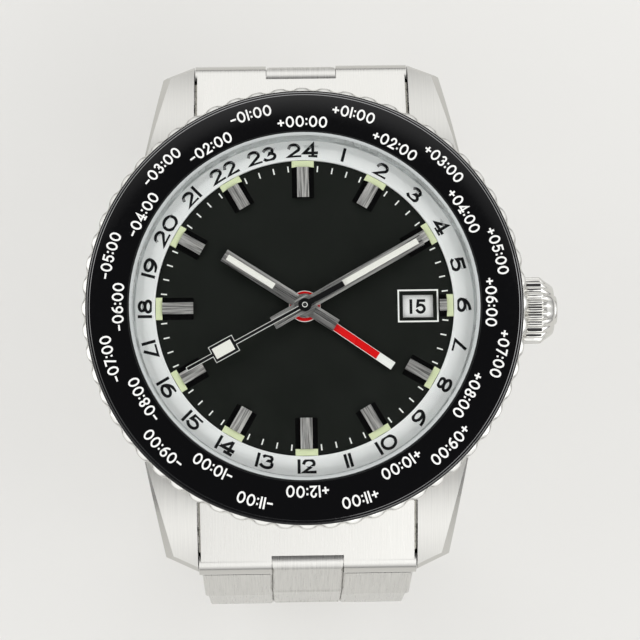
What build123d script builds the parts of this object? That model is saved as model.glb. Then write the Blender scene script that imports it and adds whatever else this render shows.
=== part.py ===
from build123d import *
from math import atan2, cos, degrees, hypot, radians, sin, sqrt
import os

# World time watch with an automatic movement and a three-row bracelet, closed as on a wrist.
# The origin is the centre of the case back's outer face. +Z points out through the crystal,
# +Y to 12 o'clock and +X to the crown. Lengths are in millimetres, angles in degrees.

os.makedirs("parts", exist_ok=True)

# Driving dimensions: the stack from the case back to the dial
back_thick = 1.2
rotor_gap = 0.35
rotor_rim_height = 1.1
rotor_web_thick = 0.35
bridge_gap = 0.35
bridge_thick = 1.3
train_height = 1.7
plate_thick = 1.2
calendar_height = 1.0
dial_thick = 0.4

bridge_z = back_thick + rotor_gap + rotor_rim_height + bridge_gap
train_z = bridge_z + bridge_thick
plate_z = train_z + train_height
calendar_z = plate_z + plate_thick
dial_z = calendar_z + calendar_height
dial_top = dial_z + dial_thick

# Fits and small overruns
running_gap = 0.05
free_gap = 0.1
overrun = 1.0

# Case, from the movement outwards
movement_radius = 13.7
holder_width = 1.75
cavity_radius = movement_radius + holder_width
case_wall = 3.75
case_radius = cavity_radius + case_wall
case_bottom = 1.0
shoulder_drop = 1.0
shoulder_z = dial_top - shoulder_drop
neck_wall = 1.95
neck_radius = cavity_radius + neck_wall
neck_rise = 1.05
neck_top = dial_top + neck_rise
crystal_ledge_rise = 0.35
ledge_z = dial_top + crystal_ledge_rise
lug_gap = 20.0
lug_reach = 4.4
lug_tip_y = case_radius + lug_reach
lug_corner_width = 2.9
lug_corner_x = lug_gap / 2 + lug_corner_width
lug_corner_drop = 1.35
lug_corner_y = lug_tip_y - lug_corner_drop
lug_root_width = 5.0
lug_root_x = lug_gap / 2 + lug_root_width
lug_root_y = sqrt(case_radius ** 2 - lug_root_x ** 2)
lug_tip_drop = 4.36
lug_tip_height = 3.0
lug_crown_inset = 5.0
lug_crown_y = lug_tip_y - lug_crown_inset
lug_crown_drop = 1.95
lug_flat_inset = 10.6
lug_flat_y = lug_tip_y - lug_flat_inset
lug_bevel_width = 0.7
lug_bevel_depth = 0.6
lug_bevel_reach = 1.5
lug_bevel_steps = 6
lug_end_bevel_depth = 0.35
lug_end_bevel_width = 0.3

# Case back
back_plug_seat = 0.55
back_plug_radius = cavity_radius + back_plug_seat
back_plug_height = 1.5
back_plug_wall = 0.9
back_edge = 0.3
gasket_place = 0.35
gasket_inner = back_plug_radius + gasket_place
gasket_width = 0.6
gasket_thick = 0.35
flange_rim = 0.45
back_flange_radius = gasket_inner + gasket_width + flange_rim
wrench_slots = 6
wrench_slot_width = 2.2
wrench_slot_length = 1.6
wrench_slot_depth = 0.5
wrench_slot_inset = 2.0
wrench_slot_radius = back_flange_radius - wrench_slot_inset

# Crystal and its gasket
crystal_seat = 0.05
crystal_radius = cavity_radius + crystal_seat
crystal_wall = 0.9
crystal_gasket_wall = 0.3
gasket_foot = 0.15
crystal_roof_rise = 1.9
crystal_edge_rise = 2.15
crystal_shoulder_rise = 2.4
crystal_shoulder_inset = 0.35
crystal_dome_rise = 3.0
crystal_gasket_rise = 1.95

# Bezel
bezel_overhang = 0.8
bezel_radius = case_radius + bezel_overhang
scallop_count = 60
scallop_depth = 0.36
scallop_cut_radius = 1.6
bezel_bottom_gap = 0.1
bezel_edge = 0.3
insert_rim = 0.42
insert_outer = bezel_radius - insert_rim
insert_gap = 0.06
insert_inner = crystal_radius + crystal_gasket_wall + insert_gap
insert_thick = 0.5
insert_edge_rise = 1.44
insert_inner_rise = 1.84
insert_round = 0.22
spring_place = 0.6
spring_inner = neck_radius + spring_place
spring_width = 0.8
spring_thick = 0.25

# Crown, its tube and the stem
crown_z = 4.5
crown_radius = 3.1
crown_gap = 0.55
crown_inner_x = case_radius + crown_gap
crown_flute_length = 2.15
crown_dome_length = 1.1
crown_dome_radius = 2.2
crown_boss_radius = 1.35
crown_boss_length = 0.35
crown_flutes = 26
crown_flute_radius = 0.3
crown_cavity_radius = 1.95
crown_cavity_depth = 1.5
tube_radius = 1.5
tube_collar_radius = 1.8
tube_collar_length = 1.6
tube_bore = 0.9
stem_radius = 0.42
stem_inner_gap = 0.43
stem_grip = 0.75
crown_travel = 1.2
lever_inset = 2.7
lever_x = movement_radius - lever_inset
lever_slot = 0.5
lever_thick = 0.35
lever_width = 1.5
lever_height = 1.3

# Date ring
date_inset = 1.85
date_outer = movement_radius - date_inset
date_width = 2.95
date_inner = date_outer - date_width
date_thick = 0.2
date_gap = 0.1
date_seat_inset = 0.3
date_rim_gap = 0.15

# Hour ring, dial and markers
dial_lap = 0.25
dial_radius = movement_radius + dial_lap
ring_lap = 0.4
ring_inner = dial_radius - ring_lap
ring_lip = 0.16
ring_lip_rise = 0.3
ring_inner_rise = 0.22
ring_outer_rise = 0.3
dial_hole = 1.02
window_inset = 1.55
window_x = date_outer - window_inset
window_length = 2.75
window_height = 2.07
window_bevel = 0.16
dial_foot_radius = 0.35
dial_foot_inset = 0.7
dial_foot_place = movement_radius - dial_foot_inset
dial_foot_angle = 32.0
marker_gap = 0.65
marker_outer = ring_inner - marker_gap
quarter_marker_length = 2.8
quarter_marker_inner = marker_outer - quarter_marker_length
marker_length = 2.25
marker_inner = marker_outer - marker_length
marker_width = 2.03
marker_top_width = 1.07
marker_height = 0.42
short_marker_length = 0.65
short_marker_inner = marker_outer - short_marker_length
lume_length = 0.6
lume_outer = marker_outer + lume_length
lume_height = 0.2

# Hands: angles are clockwise from 12
hand_gap = 0.2
gmt_thick = 0.13
hour_thick = 0.18
minute_thick = 0.16
seconds_thick = 0.12
first_hand_gap = 0.5
hour_angle = 303.2
hour_tip_gap = 1.45
hour_length = marker_inner - hour_tip_gap
hour_width = 1.18
hour_tail = 3.35
hour_hub = 1.12
minute_angle = 60.8
minute_tip_gap = 0.7
minute_length = marker_outer - minute_tip_gap
minute_width = 1.18
minute_tail = 3.3
minute_hub = 0.98
gmt_angle = 125.1
gmt_tip_gap = 0.45
gmt_length = marker_inner - gmt_tip_gap
gmt_width = 0.77
gmt_hub = 1.43
seconds_angle = 241.8
seconds_tip_gap = 0.8
seconds_length = marker_outer - seconds_tip_gap
seconds_width = 0.34
seconds_hub = 0.6
seconds_box_inset = 3.8
seconds_box_place = seconds_length - seconds_box_inset
seconds_box_length = 2.4
seconds_box_width = 1.6
seconds_tail = 4.0
seconds_tail_width = 0.41

gmt_z = dial_top + first_hand_gap
hour_z = gmt_z + gmt_thick + hand_gap
minute_z = hour_z + hour_thick + hand_gap
seconds_z = minute_z + minute_thick + hand_gap

# Arbors and tubes at the centre, from the seconds arbor outwards
arbor_radius = 0.13
center_tube_wall = 0.14
cannon_wall = 0.15
hour_tube_wall = 0.14
gmt_tube_wall = 0.12
center_tube_bore = arbor_radius + running_gap
center_tube_radius = center_tube_bore + center_tube_wall
cannon_bore = center_tube_radius + running_gap
cannon_radius = cannon_bore + cannon_wall
hour_bore = cannon_radius + running_gap
hour_tube_radius = hour_bore + hour_tube_wall
gmt_bore = hour_tube_radius + running_gap
gmt_tube_radius = gmt_bore + gmt_tube_wall

# Movement: plates and holder
rim_width = 0.75
rim_inner = movement_radius - rim_width
bridge_inset = 0.15
bridge_radius = movement_radius - bridge_inset
pocket_depth = 0.45
stem_channel = 0.6
bearing_radius = 1.45
bearing_flange = 0.3
bearing_flange_thick = 0.12
rotor_inset = 0.6
rotor_radius = movement_radius - rotor_inset
rotor_rim_width = 2.4
rotor_hub_radius = 2.3

# Gear train: pitch radii come from tooth counts and tooth sizes, which are shares of the movement's radius
wheel_thick = 0.12
pinion_thick = 0.2
level_gap = 0.12
tooth_share = 0.0073
tooth_size = movement_radius * tooth_share
third_tooth_share = 0.00803
third_tooth_size = movement_radius * third_tooth_share
great_tooth_share = 0.00876
great_tooth_size = movement_radius * great_tooth_share
barrel_tooth_share = 0.010584
barrel_tooth_size = movement_radius * barrel_tooth_share
winding_tooth_share = 0.0146
winding_tooth_size = movement_radius * winding_tooth_share
seconds_teeth = 72
seconds_pinion_teeth = 8
third_teeth = 64
third_pinion_teeth = 8
great_teeth = 60
great_pinion_teeth = 10
barrel_teeth = 70
escape_teeth = 20
escape_pinion_teeth = 6
crown_wheel_teeth = 26
ratchet_teeth = 45
winding_pinion_teeth = 12
cannon_teeth = 12
minute_wheel_teeth = 36
minute_pinion_teeth = 10
hour_teeth = 40
day_pinion_teeth = 7
day_teeth = 56
tip_share = 0.2
root_share = 0.5
barrel_x_share = 0.27737
barrel_x = movement_radius * barrel_x_share
barrel_y_share = 0.48029
barrel_y = movement_radius * barrel_y_share
barrel_wall = 0.35
barrel_drum_gap = 0.25
mainspring_inner = 0.45
mainspring_strip = 0.16
mainspring_turns = 7
mainspring_pitch_share = 0.03942
mainspring_pitch = movement_radius * mainspring_pitch_share
third_angle = 165.0
escape_angle = 260.0
pallet_angle = 210.0
pallet_distance_share = 0.20073
pallet_distance = movement_radius * pallet_distance_share
balance_angle = 200.0
balance_distance_share = 0.24818
balance_distance = movement_radius * balance_distance_share
escape_radius_share = 0.15328
escape_radius = movement_radius * escape_radius_share
balance_radius_share = 0.27007
balance_radius = movement_radius * balance_radius_share
balance_rim = 0.45
balance_thick = 0.4
balance_arm = 0.5
balance_room = 0.35
balance_drop = 0.25
cock_thick = 0.5
cock_width = 2.4
cock_foot_radius = 1.5
cock_foot_share = 0.41606
cock_foot_distance = movement_radius * cock_foot_share
cock_foot_angle = 135.3
roller_radius = 0.55
hairspring_turns = 5
hairspring_pitch_share = 0.0219
hairspring_pitch = movement_radius * hairspring_pitch_share
hairspring_strip = 0.07
hairspring_inner = 0.4
balance_hub_radius = 0.7
hairspring_height = 0.1
jewel_radius = 0.5
jewel_thick = 0.25
pivot_radius = 0.13
shaft_radius = 0.25
screw_head_radius = 0.42
screw_head_height = 0.25
screw_shank_radius = 0.24
screw_slot = 0.1
minute_wheel_angle = 300.0

# Bracelet
link_pitch = 7.6
link_half_thick = 1.35
link_end_radius = 1.5
link_play = 0.12
center_half_width = 3.25
side_play = 0.05
end_link_side_gap = 0.07
end_link_half_width = lug_gap / 2 - end_link_side_gap
first_link_step = 0.23
first_link_half_width = end_link_half_width - first_link_step
link_taper = 1.2
last_link_half_width = first_link_half_width - link_taper
link_bevel = 0.18
pin_radius = 0.6
end_pin_reach = 3.2
end_pin_y = case_radius + end_pin_reach
end_pin_z = 2.8
end_link_gap = 0.12
end_link_bottom = 1.3
end_link_top_inset = 3.2
end_link_top_y = case_radius - end_link_top_inset
spring_bar_radius = 0.7
spring_bar_tip_radius = 0.42
spring_bar_tip = 1.2
spring_bar_reach_out = 0.7
spring_bar_y = case_radius + spring_bar_reach_out
spring_bar_z = 2.7
link_tilts = (76, 84, 91, 98, 107, 125)

# Clasp: cover outside, two blades folded inside it
cover_thick = 0.9
cover_drop = 3.6
cover_overhang = 0.4
cover_half_width = last_link_half_width + cover_overhang
cover_wall = 0.8
cover_wall_height = 2.4
cover_end_gap = 2.1
cover_knuckle_radius = 1.25
blade_thick = 0.8
blade_gap = 0.1
blade_side_room = 2.5
outer_blade_half_width = cover_half_width - cover_wall - blade_side_room
inner_blade_inset = 0.25
inner_blade_half_width = center_half_width - inner_blade_inset
blade_pin_radius = 0.4
blade_knuckle_radius = 0.75
blade_pin_inset = 1.15
open_pivot_gap = 0.3
button_radius = 1.0
button_length = 1.5
button_travel = 0.6
button_place = 8.5
window_notch = 4.6


def pitch_radius(teeth, size):
    """Half the tooth count times the tooth size."""
    return teeth * size / 2


def tooth_outline(teeth, pitch, size):
    """Draw straight-sided teeth between a root and a tip circle."""
    tip = pitch + tip_share * size
    root = pitch - root_share * size
    flank_shares = ((root, -0.36), (tip, -0.15), (tip, 0.15), (root, 0.36))
    points = []
    for index in range(teeth):
        for radius, share in flank_shares:
            turn = radians((index + share) * 360 / teeth)
            points.append((radius * cos(turn), radius * sin(turn)))
    Polygon(*points, align=None)


def level(height, x=0, y=0):
    """Horizontal plane at a height, centred over a point."""
    return Plane(origin=(x, y, height), z_dir=(0, 0, 1))


def pointing(height, clockwise):
    """Horizontal plane whose local +Y points at an angle clockwise from 12."""
    turn = radians(clockwise)
    return Plane(origin=(0, 0, height), x_dir=(cos(turn), -sin(turn), 0), z_dir=(0, 0, 1))


def across(x, y=0, z=0):
    """Plane square to the crown's axis, its normal towards the crown."""
    return Plane(origin=(x, y, z), x_dir=(0, 1, 0), z_dir=(1, 0, 0))


def place_by(distance, angle, start=(0, 0)):
    """Point at a distance and an angle anticlockwise from +X of a start."""
    turn = radians(angle)
    return (start[0] + distance * cos(turn), start[1] + distance * sin(turn))


def meeting(first, first_reach, second, second_reach):
    """The meeting point of two circles that lies to the left of the way from first to second."""
    span = hypot(second[0] - first[0], second[1] - first[1])
    along = (first_reach ** 2 - second_reach ** 2 + span ** 2) / (2 * span)
    aside = sqrt(first_reach ** 2 - along ** 2)
    step = ((second[0] - first[0]) / span, (second[1] - first[1]) / span)
    return (first[0] + along * step[0] - aside * step[1], first[1] + along * step[1] + aside * step[0])


# Places of the wheels, from their pitch radii
seconds_pitch = pitch_radius(seconds_teeth, tooth_size)
escape_pinion_pitch = pitch_radius(escape_pinion_teeth, tooth_size)
third_pitch = pitch_radius(third_teeth, third_tooth_size)
seconds_pinion_pitch = pitch_radius(seconds_pinion_teeth, third_tooth_size)
great_pitch = pitch_radius(great_teeth, great_tooth_size)
third_pinion_pitch = pitch_radius(third_pinion_teeth, great_tooth_size)
barrel_pitch = pitch_radius(barrel_teeth, barrel_tooth_size)
great_pinion_pitch = pitch_radius(great_pinion_teeth, barrel_tooth_size)
ratchet_pitch = pitch_radius(ratchet_teeth, winding_tooth_size)
crown_wheel_pitch = pitch_radius(crown_wheel_teeth, winding_tooth_size)
winding_pinion_pitch = pitch_radius(winding_pinion_teeth, winding_tooth_size)

barrel_place = (barrel_x, barrel_y)
third_place = place_by(third_pitch + seconds_pinion_pitch, third_angle)
great_place = meeting(
    third_place, great_pitch + third_pinion_pitch, barrel_place, barrel_pitch + great_pinion_pitch
)
escape_place = place_by(seconds_pitch + escape_pinion_pitch, escape_angle)
pallet_place = place_by(pallet_distance, pallet_angle, escape_place)
balance_place = place_by(balance_distance, balance_angle, pallet_place)
cock_foot_place = place_by(cock_foot_distance, cock_foot_angle, balance_place)
cock_middle = (*place_by(cock_foot_distance / 2, cock_foot_angle, balance_place), 0)
crown_wheel_reach = ratchet_pitch + crown_wheel_pitch
crown_wheel_place = (barrel_x + sqrt(crown_wheel_reach ** 2 - barrel_y ** 2), 0)
stem_inner_x = crown_wheel_place[0] + stem_inner_gap

# Wheel levels, from the bridge towards the main plate
seconds_level = train_z + level_gap
great_level = seconds_level + pinion_thick + level_gap / 2
third_level = great_level + pinion_thick + level_gap / 2
barrel_level = third_level + level_gap / 4
barrel_height = plate_z - free_gap - barrel_level

# Case middle: the lugs first, then the round body, the neck and the cuts
lug_top_z = dial_top - lug_tip_drop
lug_arc = ThreePointArc(
    (lug_tip_y, lug_top_z), (lug_crown_y, dial_top - lug_crown_drop), (lug_flat_y, shoulder_z)
)
lug_arc_center = lug_arc.arc_center


def lug_height(place_y):
    """The height of a lug's curved top above the wrist at one distance from the middle."""
    return lug_arc_center.Y + sqrt(lug_arc.radius ** 2 - (place_y - lug_arc_center.X) ** 2)


with BuildPart() as case_middle:
    with BuildSketch(Plane.XY.offset(case_bottom)):
        with BuildLine():
            Polyline(
                (lug_gap / 2, 0),
                (lug_gap / 2, lug_tip_y),
                (lug_corner_x, lug_corner_y),
                (lug_root_x, lug_root_y),
                (lug_root_x, 0),
                close=True,
            )
        make_face()
    extrude(amount=shoulder_z - case_bottom)
    with BuildSketch(Plane.YZ):
        with BuildLine():
            Polyline(
                (lug_flat_y, shoulder_z),
                (0, shoulder_z),
                (0, case_bottom),
                (lug_corner_y, case_bottom),
                (lug_tip_y, lug_top_z - lug_tip_height),
                (lug_tip_y, lug_top_z),
            )
            ThreePointArc(
                (lug_tip_y, lug_top_z), (lug_crown_y, dial_top - lug_crown_drop), (lug_flat_y, shoulder_z)
            )
        make_face()
    extrude(amount=lug_root_x + overrun, mode=Mode.INTERSECT)
    bevel_down = Vector(lug_bevel_width, -lug_bevel_depth).normalized() * lug_bevel_reach
    bevel_out = Vector(-bevel_down.Y, bevel_down.X)
    for step in range(lug_bevel_steps + 2):
        bevel_share = step / lug_bevel_steps
        bevel_x = lug_root_x + (lug_corner_x - lug_bevel_width - lug_root_x) * bevel_share
        bevel_y = lug_root_y + (lug_corner_y - lug_root_y) * bevel_share
        bevel_edge = Vector(bevel_x, lug_height(bevel_y))
        with BuildSketch(Plane.XZ.offset(-bevel_y)):
            with BuildLine():
                Polyline(
                    bevel_edge - bevel_down,
                    bevel_edge + bevel_down,
                    bevel_edge + bevel_out,
                    close=True,
                )
            make_face()
    loft(mode=Mode.SUBTRACT)
    corner_z = lug_height(lug_corner_y)
    end_way = Vector(lug_gap / 2 - lug_corner_x, lug_tip_y - lug_corner_y, lug_top_z - corner_z)
    end_out = Vector(lug_tip_y - lug_corner_y, lug_corner_x - lug_gap / 2, 0).normalized()
    end_low = Vector(lug_corner_x, lug_corner_y, corner_z - lug_end_bevel_depth)
    end_in = end_low - end_out * lug_end_bevel_width
    end_in = Vector(end_in.X, end_in.Y, lug_height(end_in.Y))
    end_normal = end_way.cross(end_in - end_low)
    if end_normal.Z < 0:
        end_normal = end_normal * -1
    split(bisect_by=Plane(origin=end_low, z_dir=end_normal), keep=Keep.BOTTOM)
    mirror(about=Plane.YZ)
    mirror(about=Plane.XZ)
    with BuildSketch(Plane.XY.offset(case_bottom)):
        Circle(case_radius)
    extrude(amount=shoulder_z - case_bottom)
    with BuildSketch(Plane.XY.offset(shoulder_z)):
        Circle(neck_radius)
    extrude(amount=neck_top - shoulder_z)
    with BuildSketch(Plane.XY.offset(case_bottom)):
        Circle(cavity_radius)
    extrude(amount=neck_top, mode=Mode.SUBTRACT)
    with BuildSketch(Plane.XY.offset(case_bottom)):
        Circle(back_plug_radius)
    extrude(amount=back_plug_height, mode=Mode.SUBTRACT)
    with BuildSketch(Plane.XY.offset(ledge_z)):
        Circle(crystal_radius + crystal_gasket_wall)
    extrude(amount=neck_top, mode=Mode.SUBTRACT)
    with BuildSketch(across(cavity_radius - overrun, 0, crown_z)):
        Circle(tube_radius)
    extrude(amount=case_radius - cavity_radius + overrun + overrun, mode=Mode.SUBTRACT)
    for side in (-1, 1):
        for end in (-1, 1):
            with BuildSketch(across(side * lug_gap / 2, end * spring_bar_y, spring_bar_z)):
                Circle(spring_bar_tip_radius)
            extrude(amount=side * spring_bar_tip, mode=Mode.SUBTRACT)
case_middle.part.label = "case_middle"
export_step(case_middle.part, "parts/case_middle.step")

# Case back: a screwed cap with six wrench slots
with BuildPart() as case_back:
    with BuildSketch():
        Circle(back_flange_radius)
    extrude(amount=case_bottom)
    chamfer(case_back.edges().group_by(Axis.Z)[0], back_edge)
    with BuildSketch(Plane.XY.offset(case_bottom)):
        Circle(back_plug_radius)
    extrude(amount=back_plug_height)
    with BuildSketch(Plane.XY.offset(back_thick)):
        Circle(back_plug_radius - back_plug_wall)
    extrude(amount=back_plug_height, mode=Mode.SUBTRACT)
    with BuildSketch(Plane.XY.offset(case_bottom)):
        Circle(gasket_inner + gasket_width)
        Circle(gasket_inner, mode=Mode.SUBTRACT)
    extrude(amount=-gasket_thick, mode=Mode.SUBTRACT)
    with BuildSketch():
        with PolarLocations(wrench_slot_radius, wrench_slots):
            Rectangle(wrench_slot_length, wrench_slot_width)
    extrude(amount=wrench_slot_depth, mode=Mode.SUBTRACT)
case_back.part.label = "case_back"
export_step(case_back.part, "parts/case_back.step")

# Crystal: a raised box of sapphire with a domed top
crystal_foot_z = ledge_z + gasket_foot
roof_z = dial_top + crystal_roof_rise
with BuildPart() as crystal:
    with BuildSketch(Plane.XZ):
        with BuildLine():
            Polyline(
                (0, dial_top + crystal_dome_rise),
                (0, roof_z),
                (crystal_radius - crystal_wall, roof_z),
                (crystal_radius - crystal_wall, crystal_foot_z),
                (crystal_radius, crystal_foot_z),
                (crystal_radius, dial_top + crystal_edge_rise),
                (crystal_radius - crystal_shoulder_inset, dial_top + crystal_shoulder_rise),
            )
            RadiusArc(
                (crystal_radius - crystal_shoulder_inset, dial_top + crystal_shoulder_rise),
                (0, dial_top + crystal_dome_rise),
                -(
                    (crystal_radius - crystal_shoulder_inset) ** 2
                    + (crystal_dome_rise - crystal_shoulder_rise) ** 2
                )
                / (2 * (crystal_dome_rise - crystal_shoulder_rise)),
            )
        make_face()
    revolve(axis=Axis.Z)
crystal.part.label = "crystal"
export_step(crystal.part, "parts/crystal.step")

# Gaskets: a flat ring under the case back's flange and the crystal's ring
with BuildPart() as case_gaskets:
    with BuildSketch(Plane.XY.offset(case_bottom - gasket_thick)):
        Circle(gasket_inner + gasket_width)
        Circle(gasket_inner, mode=Mode.SUBTRACT)
    extrude(amount=gasket_thick)
    with BuildSketch(Plane.XY.offset(ledge_z)):
        Circle(crystal_radius + crystal_gasket_wall)
        Circle(crystal_radius - gasket_foot, mode=Mode.SUBTRACT)
    extrude(amount=gasket_foot)
    with BuildSketch(Plane.XY.offset(crystal_foot_z)):
        Circle(crystal_radius + crystal_gasket_wall)
        Circle(crystal_radius, mode=Mode.SUBTRACT)
    extrude(amount=dial_top + crystal_gasket_rise - crystal_foot_z)
case_gaskets.part.label = "case_gaskets"
export_step(case_gaskets.part, "parts/case_gaskets.step")

# Bezel: scalloped ring that turns on the neck, with a conical seat for its insert
bezel_bottom = shoulder_z + bezel_bottom_gap
bezel_bore = neck_radius + running_gap
insert_seat = insert_outer + running_gap / 2
insert_slope = (insert_inner_rise - insert_edge_rise) / (insert_outer - insert_inner)


def insert_top(radius):
    """Height of the insert's conical top at a radius."""
    return dial_top + insert_edge_rise + (insert_outer - radius) * insert_slope


with BuildPart() as bezel:
    with BuildSketch(Plane.XZ):
        with BuildLine():
            Polyline(
                (bezel_bore, bezel_bottom),
                (bezel_radius - bezel_edge, bezel_bottom),
                (bezel_radius, bezel_bottom + bezel_edge),
                (bezel_radius, insert_top(insert_outer) - insert_thick - bezel_edge / 2),
                (bezel_radius - bezel_edge / 2, insert_top(insert_outer) - insert_thick / 2),
                (insert_seat, insert_top(insert_outer) - insert_round),
                (insert_seat, insert_top(insert_seat) - insert_thick),
                (bezel_bore, insert_top(bezel_bore) - insert_thick),
                close=True,
            )
        make_face()
    revolve(axis=Axis.Z)
    with BuildSketch(Plane.XY.offset(bezel_bottom)):
        with PolarLocations(bezel_radius - scallop_depth + scallop_cut_radius, scallop_count):
            Circle(scallop_cut_radius)
    extrude(amount=insert_top(insert_outer) - insert_thick - bezel_bottom, mode=Mode.SUBTRACT)
    with BuildSketch(Plane.XY.offset(insert_top(insert_outer) - insert_thick)):
        with PolarLocations(bezel_radius - scallop_depth + scallop_cut_radius, scallop_count):
            Circle(scallop_cut_radius)
    extrude(amount=insert_thick, mode=Mode.SUBTRACT)
    with BuildSketch(Plane.XY.offset(bezel_bottom)):
        Circle(spring_inner + spring_width + free_gap)
        Circle(spring_inner - free_gap, mode=Mode.SUBTRACT)
    extrude(amount=spring_thick, mode=Mode.SUBTRACT)
bezel.part.label = "bezel"
export_step(bezel.part, "parts/bezel.step")

with BuildPart() as bezel_insert:
    with BuildSketch(Plane.XZ):
        with BuildLine():
            Polyline(
                (insert_inner, insert_top(insert_inner)),
                (insert_inner, insert_top(insert_inner) - insert_thick),
                (insert_outer, insert_top(insert_outer) - insert_thick),
                (insert_outer, insert_top(insert_outer) - insert_round),
                (insert_outer - insert_round, insert_top(insert_outer - insert_round)),
                close=True,
            )
        make_face()
    revolve(axis=Axis.Z)
bezel_insert.part.label = "bezel_insert"
export_step(bezel_insert.part, "parts/bezel_insert.step")

with BuildPart() as bezel_spring:
    with BuildSketch(Plane.XY.offset(shoulder_z)):
        Circle(spring_inner + spring_width)
        Circle(spring_inner, mode=Mode.SUBTRACT)
    extrude(amount=spring_thick)
bezel_spring.part.label = "bezel_spring"
export_step(bezel_spring.part, "parts/bezel_spring.step")

# Crown tube, pressed into the case flank
tube_end_x = case_radius + tube_collar_length
with BuildPart() as crown_tube:
    with BuildSketch(across(cavity_radius, 0, crown_z)):
        Circle(tube_radius)
    extrude(amount=case_radius - cavity_radius)
    with BuildSketch(across(case_radius, 0, crown_z)):
        Circle(tube_collar_radius)
    extrude(amount=tube_collar_length)
    with BuildSketch(across(cavity_radius, 0, crown_z)):
        Circle(tube_bore)
    extrude(amount=tube_end_x - cavity_radius, mode=Mode.SUBTRACT)
crown_tube.part.label = "crown_tube"
export_step(crown_tube.part, "parts/crown_tube.step")

# Crown: fluted skirt over the tube, domed end with a small boss
crown_shoulder_x = crown_inner_x + crown_flute_length
crown_dome_x = crown_shoulder_x + crown_dome_length
cavity_end_x = crown_inner_x + crown_cavity_depth
stem_end_x = cavity_end_x + stem_grip
with BuildPart() as crown:
    with BuildSketch(across(crown_inner_x, 0, crown_z)):
        Circle(crown_radius)
        with PolarLocations(crown_radius, crown_flutes):
            Circle(crown_flute_radius, mode=Mode.SUBTRACT)
    extrude(amount=crown_flute_length)
    with BuildSketch(Plane(origin=(0, 0, crown_z), x_dir=(1, 0, 0), z_dir=(0, -1, 0))):
        with BuildLine():
            Polyline(
                (crown_shoulder_x, 0),
                (crown_shoulder_x, crown_radius - crown_flute_radius / 2),
                (crown_shoulder_x + crown_flute_radius, crown_radius - crown_flute_radius),
                (crown_dome_x, crown_dome_radius),
                (crown_dome_x, crown_boss_radius),
                (crown_dome_x + crown_boss_length, crown_boss_radius),
                (crown_dome_x + crown_boss_length, 0),
                close=True,
            )
        make_face()
    revolve(axis=Axis((0, 0, crown_z), (1, 0, 0)))
    with BuildSketch(across(crown_inner_x, 0, crown_z)):
        Circle(crown_cavity_radius)
    extrude(amount=crown_cavity_depth, mode=Mode.SUBTRACT)
    with BuildSketch(across(cavity_end_x, 0, crown_z)):
        Circle(stem_radius)
    extrude(amount=stem_grip, mode=Mode.SUBTRACT)
crown.part.label = "crown"
export_step(crown.part, "parts/crown.step")

# Winding stem with its pinion and the groove that the setting lever holds
winding_pinion_x = crown_wheel_place[0] + crown_wheel_pitch
pinion_half_length = pinion_thick * 2
with BuildPart() as winding_stem:
    with BuildSketch(across(stem_inner_x, 0, crown_z)):
        Circle(stem_radius)
    extrude(amount=stem_end_x - stem_inner_x)
    with BuildSketch(across(winding_pinion_x - pinion_half_length, 0, crown_z)):
        tooth_outline(winding_pinion_teeth, winding_pinion_pitch, winding_tooth_size)
    extrude(amount=2 * pinion_half_length)
    with BuildSketch(across(lever_x, 0, crown_z)):
        Circle(stem_radius + overrun)
        Circle(stem_radius * 2 / 3, mode=Mode.SUBTRACT)
    extrude(amount=lever_slot, mode=Mode.SUBTRACT)
winding_stem.part.label = "winding_stem"
export_step(winding_stem.part, "parts/winding_stem.step")

lever_start_x = lever_x + (lever_slot - lever_thick) / 2
with BuildPart() as setting_lever:
    with BuildSketch(across(lever_start_x, 0, crown_z)):
        Rectangle(lever_width, lever_height)
        Circle(stem_radius * 2 / 3 + running_gap, mode=Mode.SUBTRACT)
        with Locations((-lever_width / 2, 0)):
            Rectangle(lever_width, stem_radius, mode=Mode.SUBTRACT)
    extrude(amount=lever_thick)
setting_lever.part.label = "setting_lever"
export_step(setting_lever.part, "parts/setting_lever.step")

# Hour ring round the dial
with BuildPart() as hour_ring:
    with BuildSketch(Plane.XZ):
        with BuildLine():
            Polyline(
                (ring_inner, dial_top),
                (cavity_radius - running_gap, dial_top),
                (cavity_radius - running_gap, dial_top + ring_outer_rise),
                (ring_inner + 2 * ring_lip, dial_top + ring_inner_rise),
                (ring_inner + ring_lip, dial_top + ring_lip_rise),
                (ring_inner, dial_top + ring_lip_rise),
                close=True,
            )
        make_face()
    revolve(axis=Axis.Z)
hour_ring.part.label = "hour_ring"
export_step(hour_ring.part, "parts/hour_ring.step")

# Dial with its date window and two feet
dial_foot_places = [place_by(dial_foot_place, angle) for angle in (dial_foot_angle, dial_foot_angle + 180)]
with BuildPart() as dial:
    with BuildSketch(Plane.XY.offset(dial_z)):
        Circle(dial_radius)
        Circle(dial_hole, mode=Mode.SUBTRACT)
    extrude(amount=dial_thick)
    with BuildSketch(level(dial_z, window_x)):
        Rectangle(window_length, window_height)
    extrude(amount=dial_thick, mode=Mode.SUBTRACT)
    with BuildSketch(level(dial_top - window_bevel, window_x)):
        Rectangle(window_length, window_height)
    with BuildSketch(level(dial_top, window_x)):
        Rectangle(window_length + 2 * window_bevel, window_height + 2 * window_bevel)
    loft(mode=Mode.SUBTRACT)
    with BuildSketch(Plane.XY.offset(dial_z)):
        with Locations(*dial_foot_places):
            Circle(dial_foot_radius)
    extrude(amount=-calendar_height)
dial.part.label = "dial"
export_step(dial.part, "parts/dial.step")


def marker_plane(index, radius):
    """Plane square to a marker's radius, its local y up from the dial."""
    turn = radians(index * 30)
    out = (sin(turn), cos(turn), 0)
    origin = (radius * out[0], radius * out[1], dial_top)
    return Plane(origin=origin, x_dir=(cos(turn), -sin(turn), 0), z_dir=out)


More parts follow.
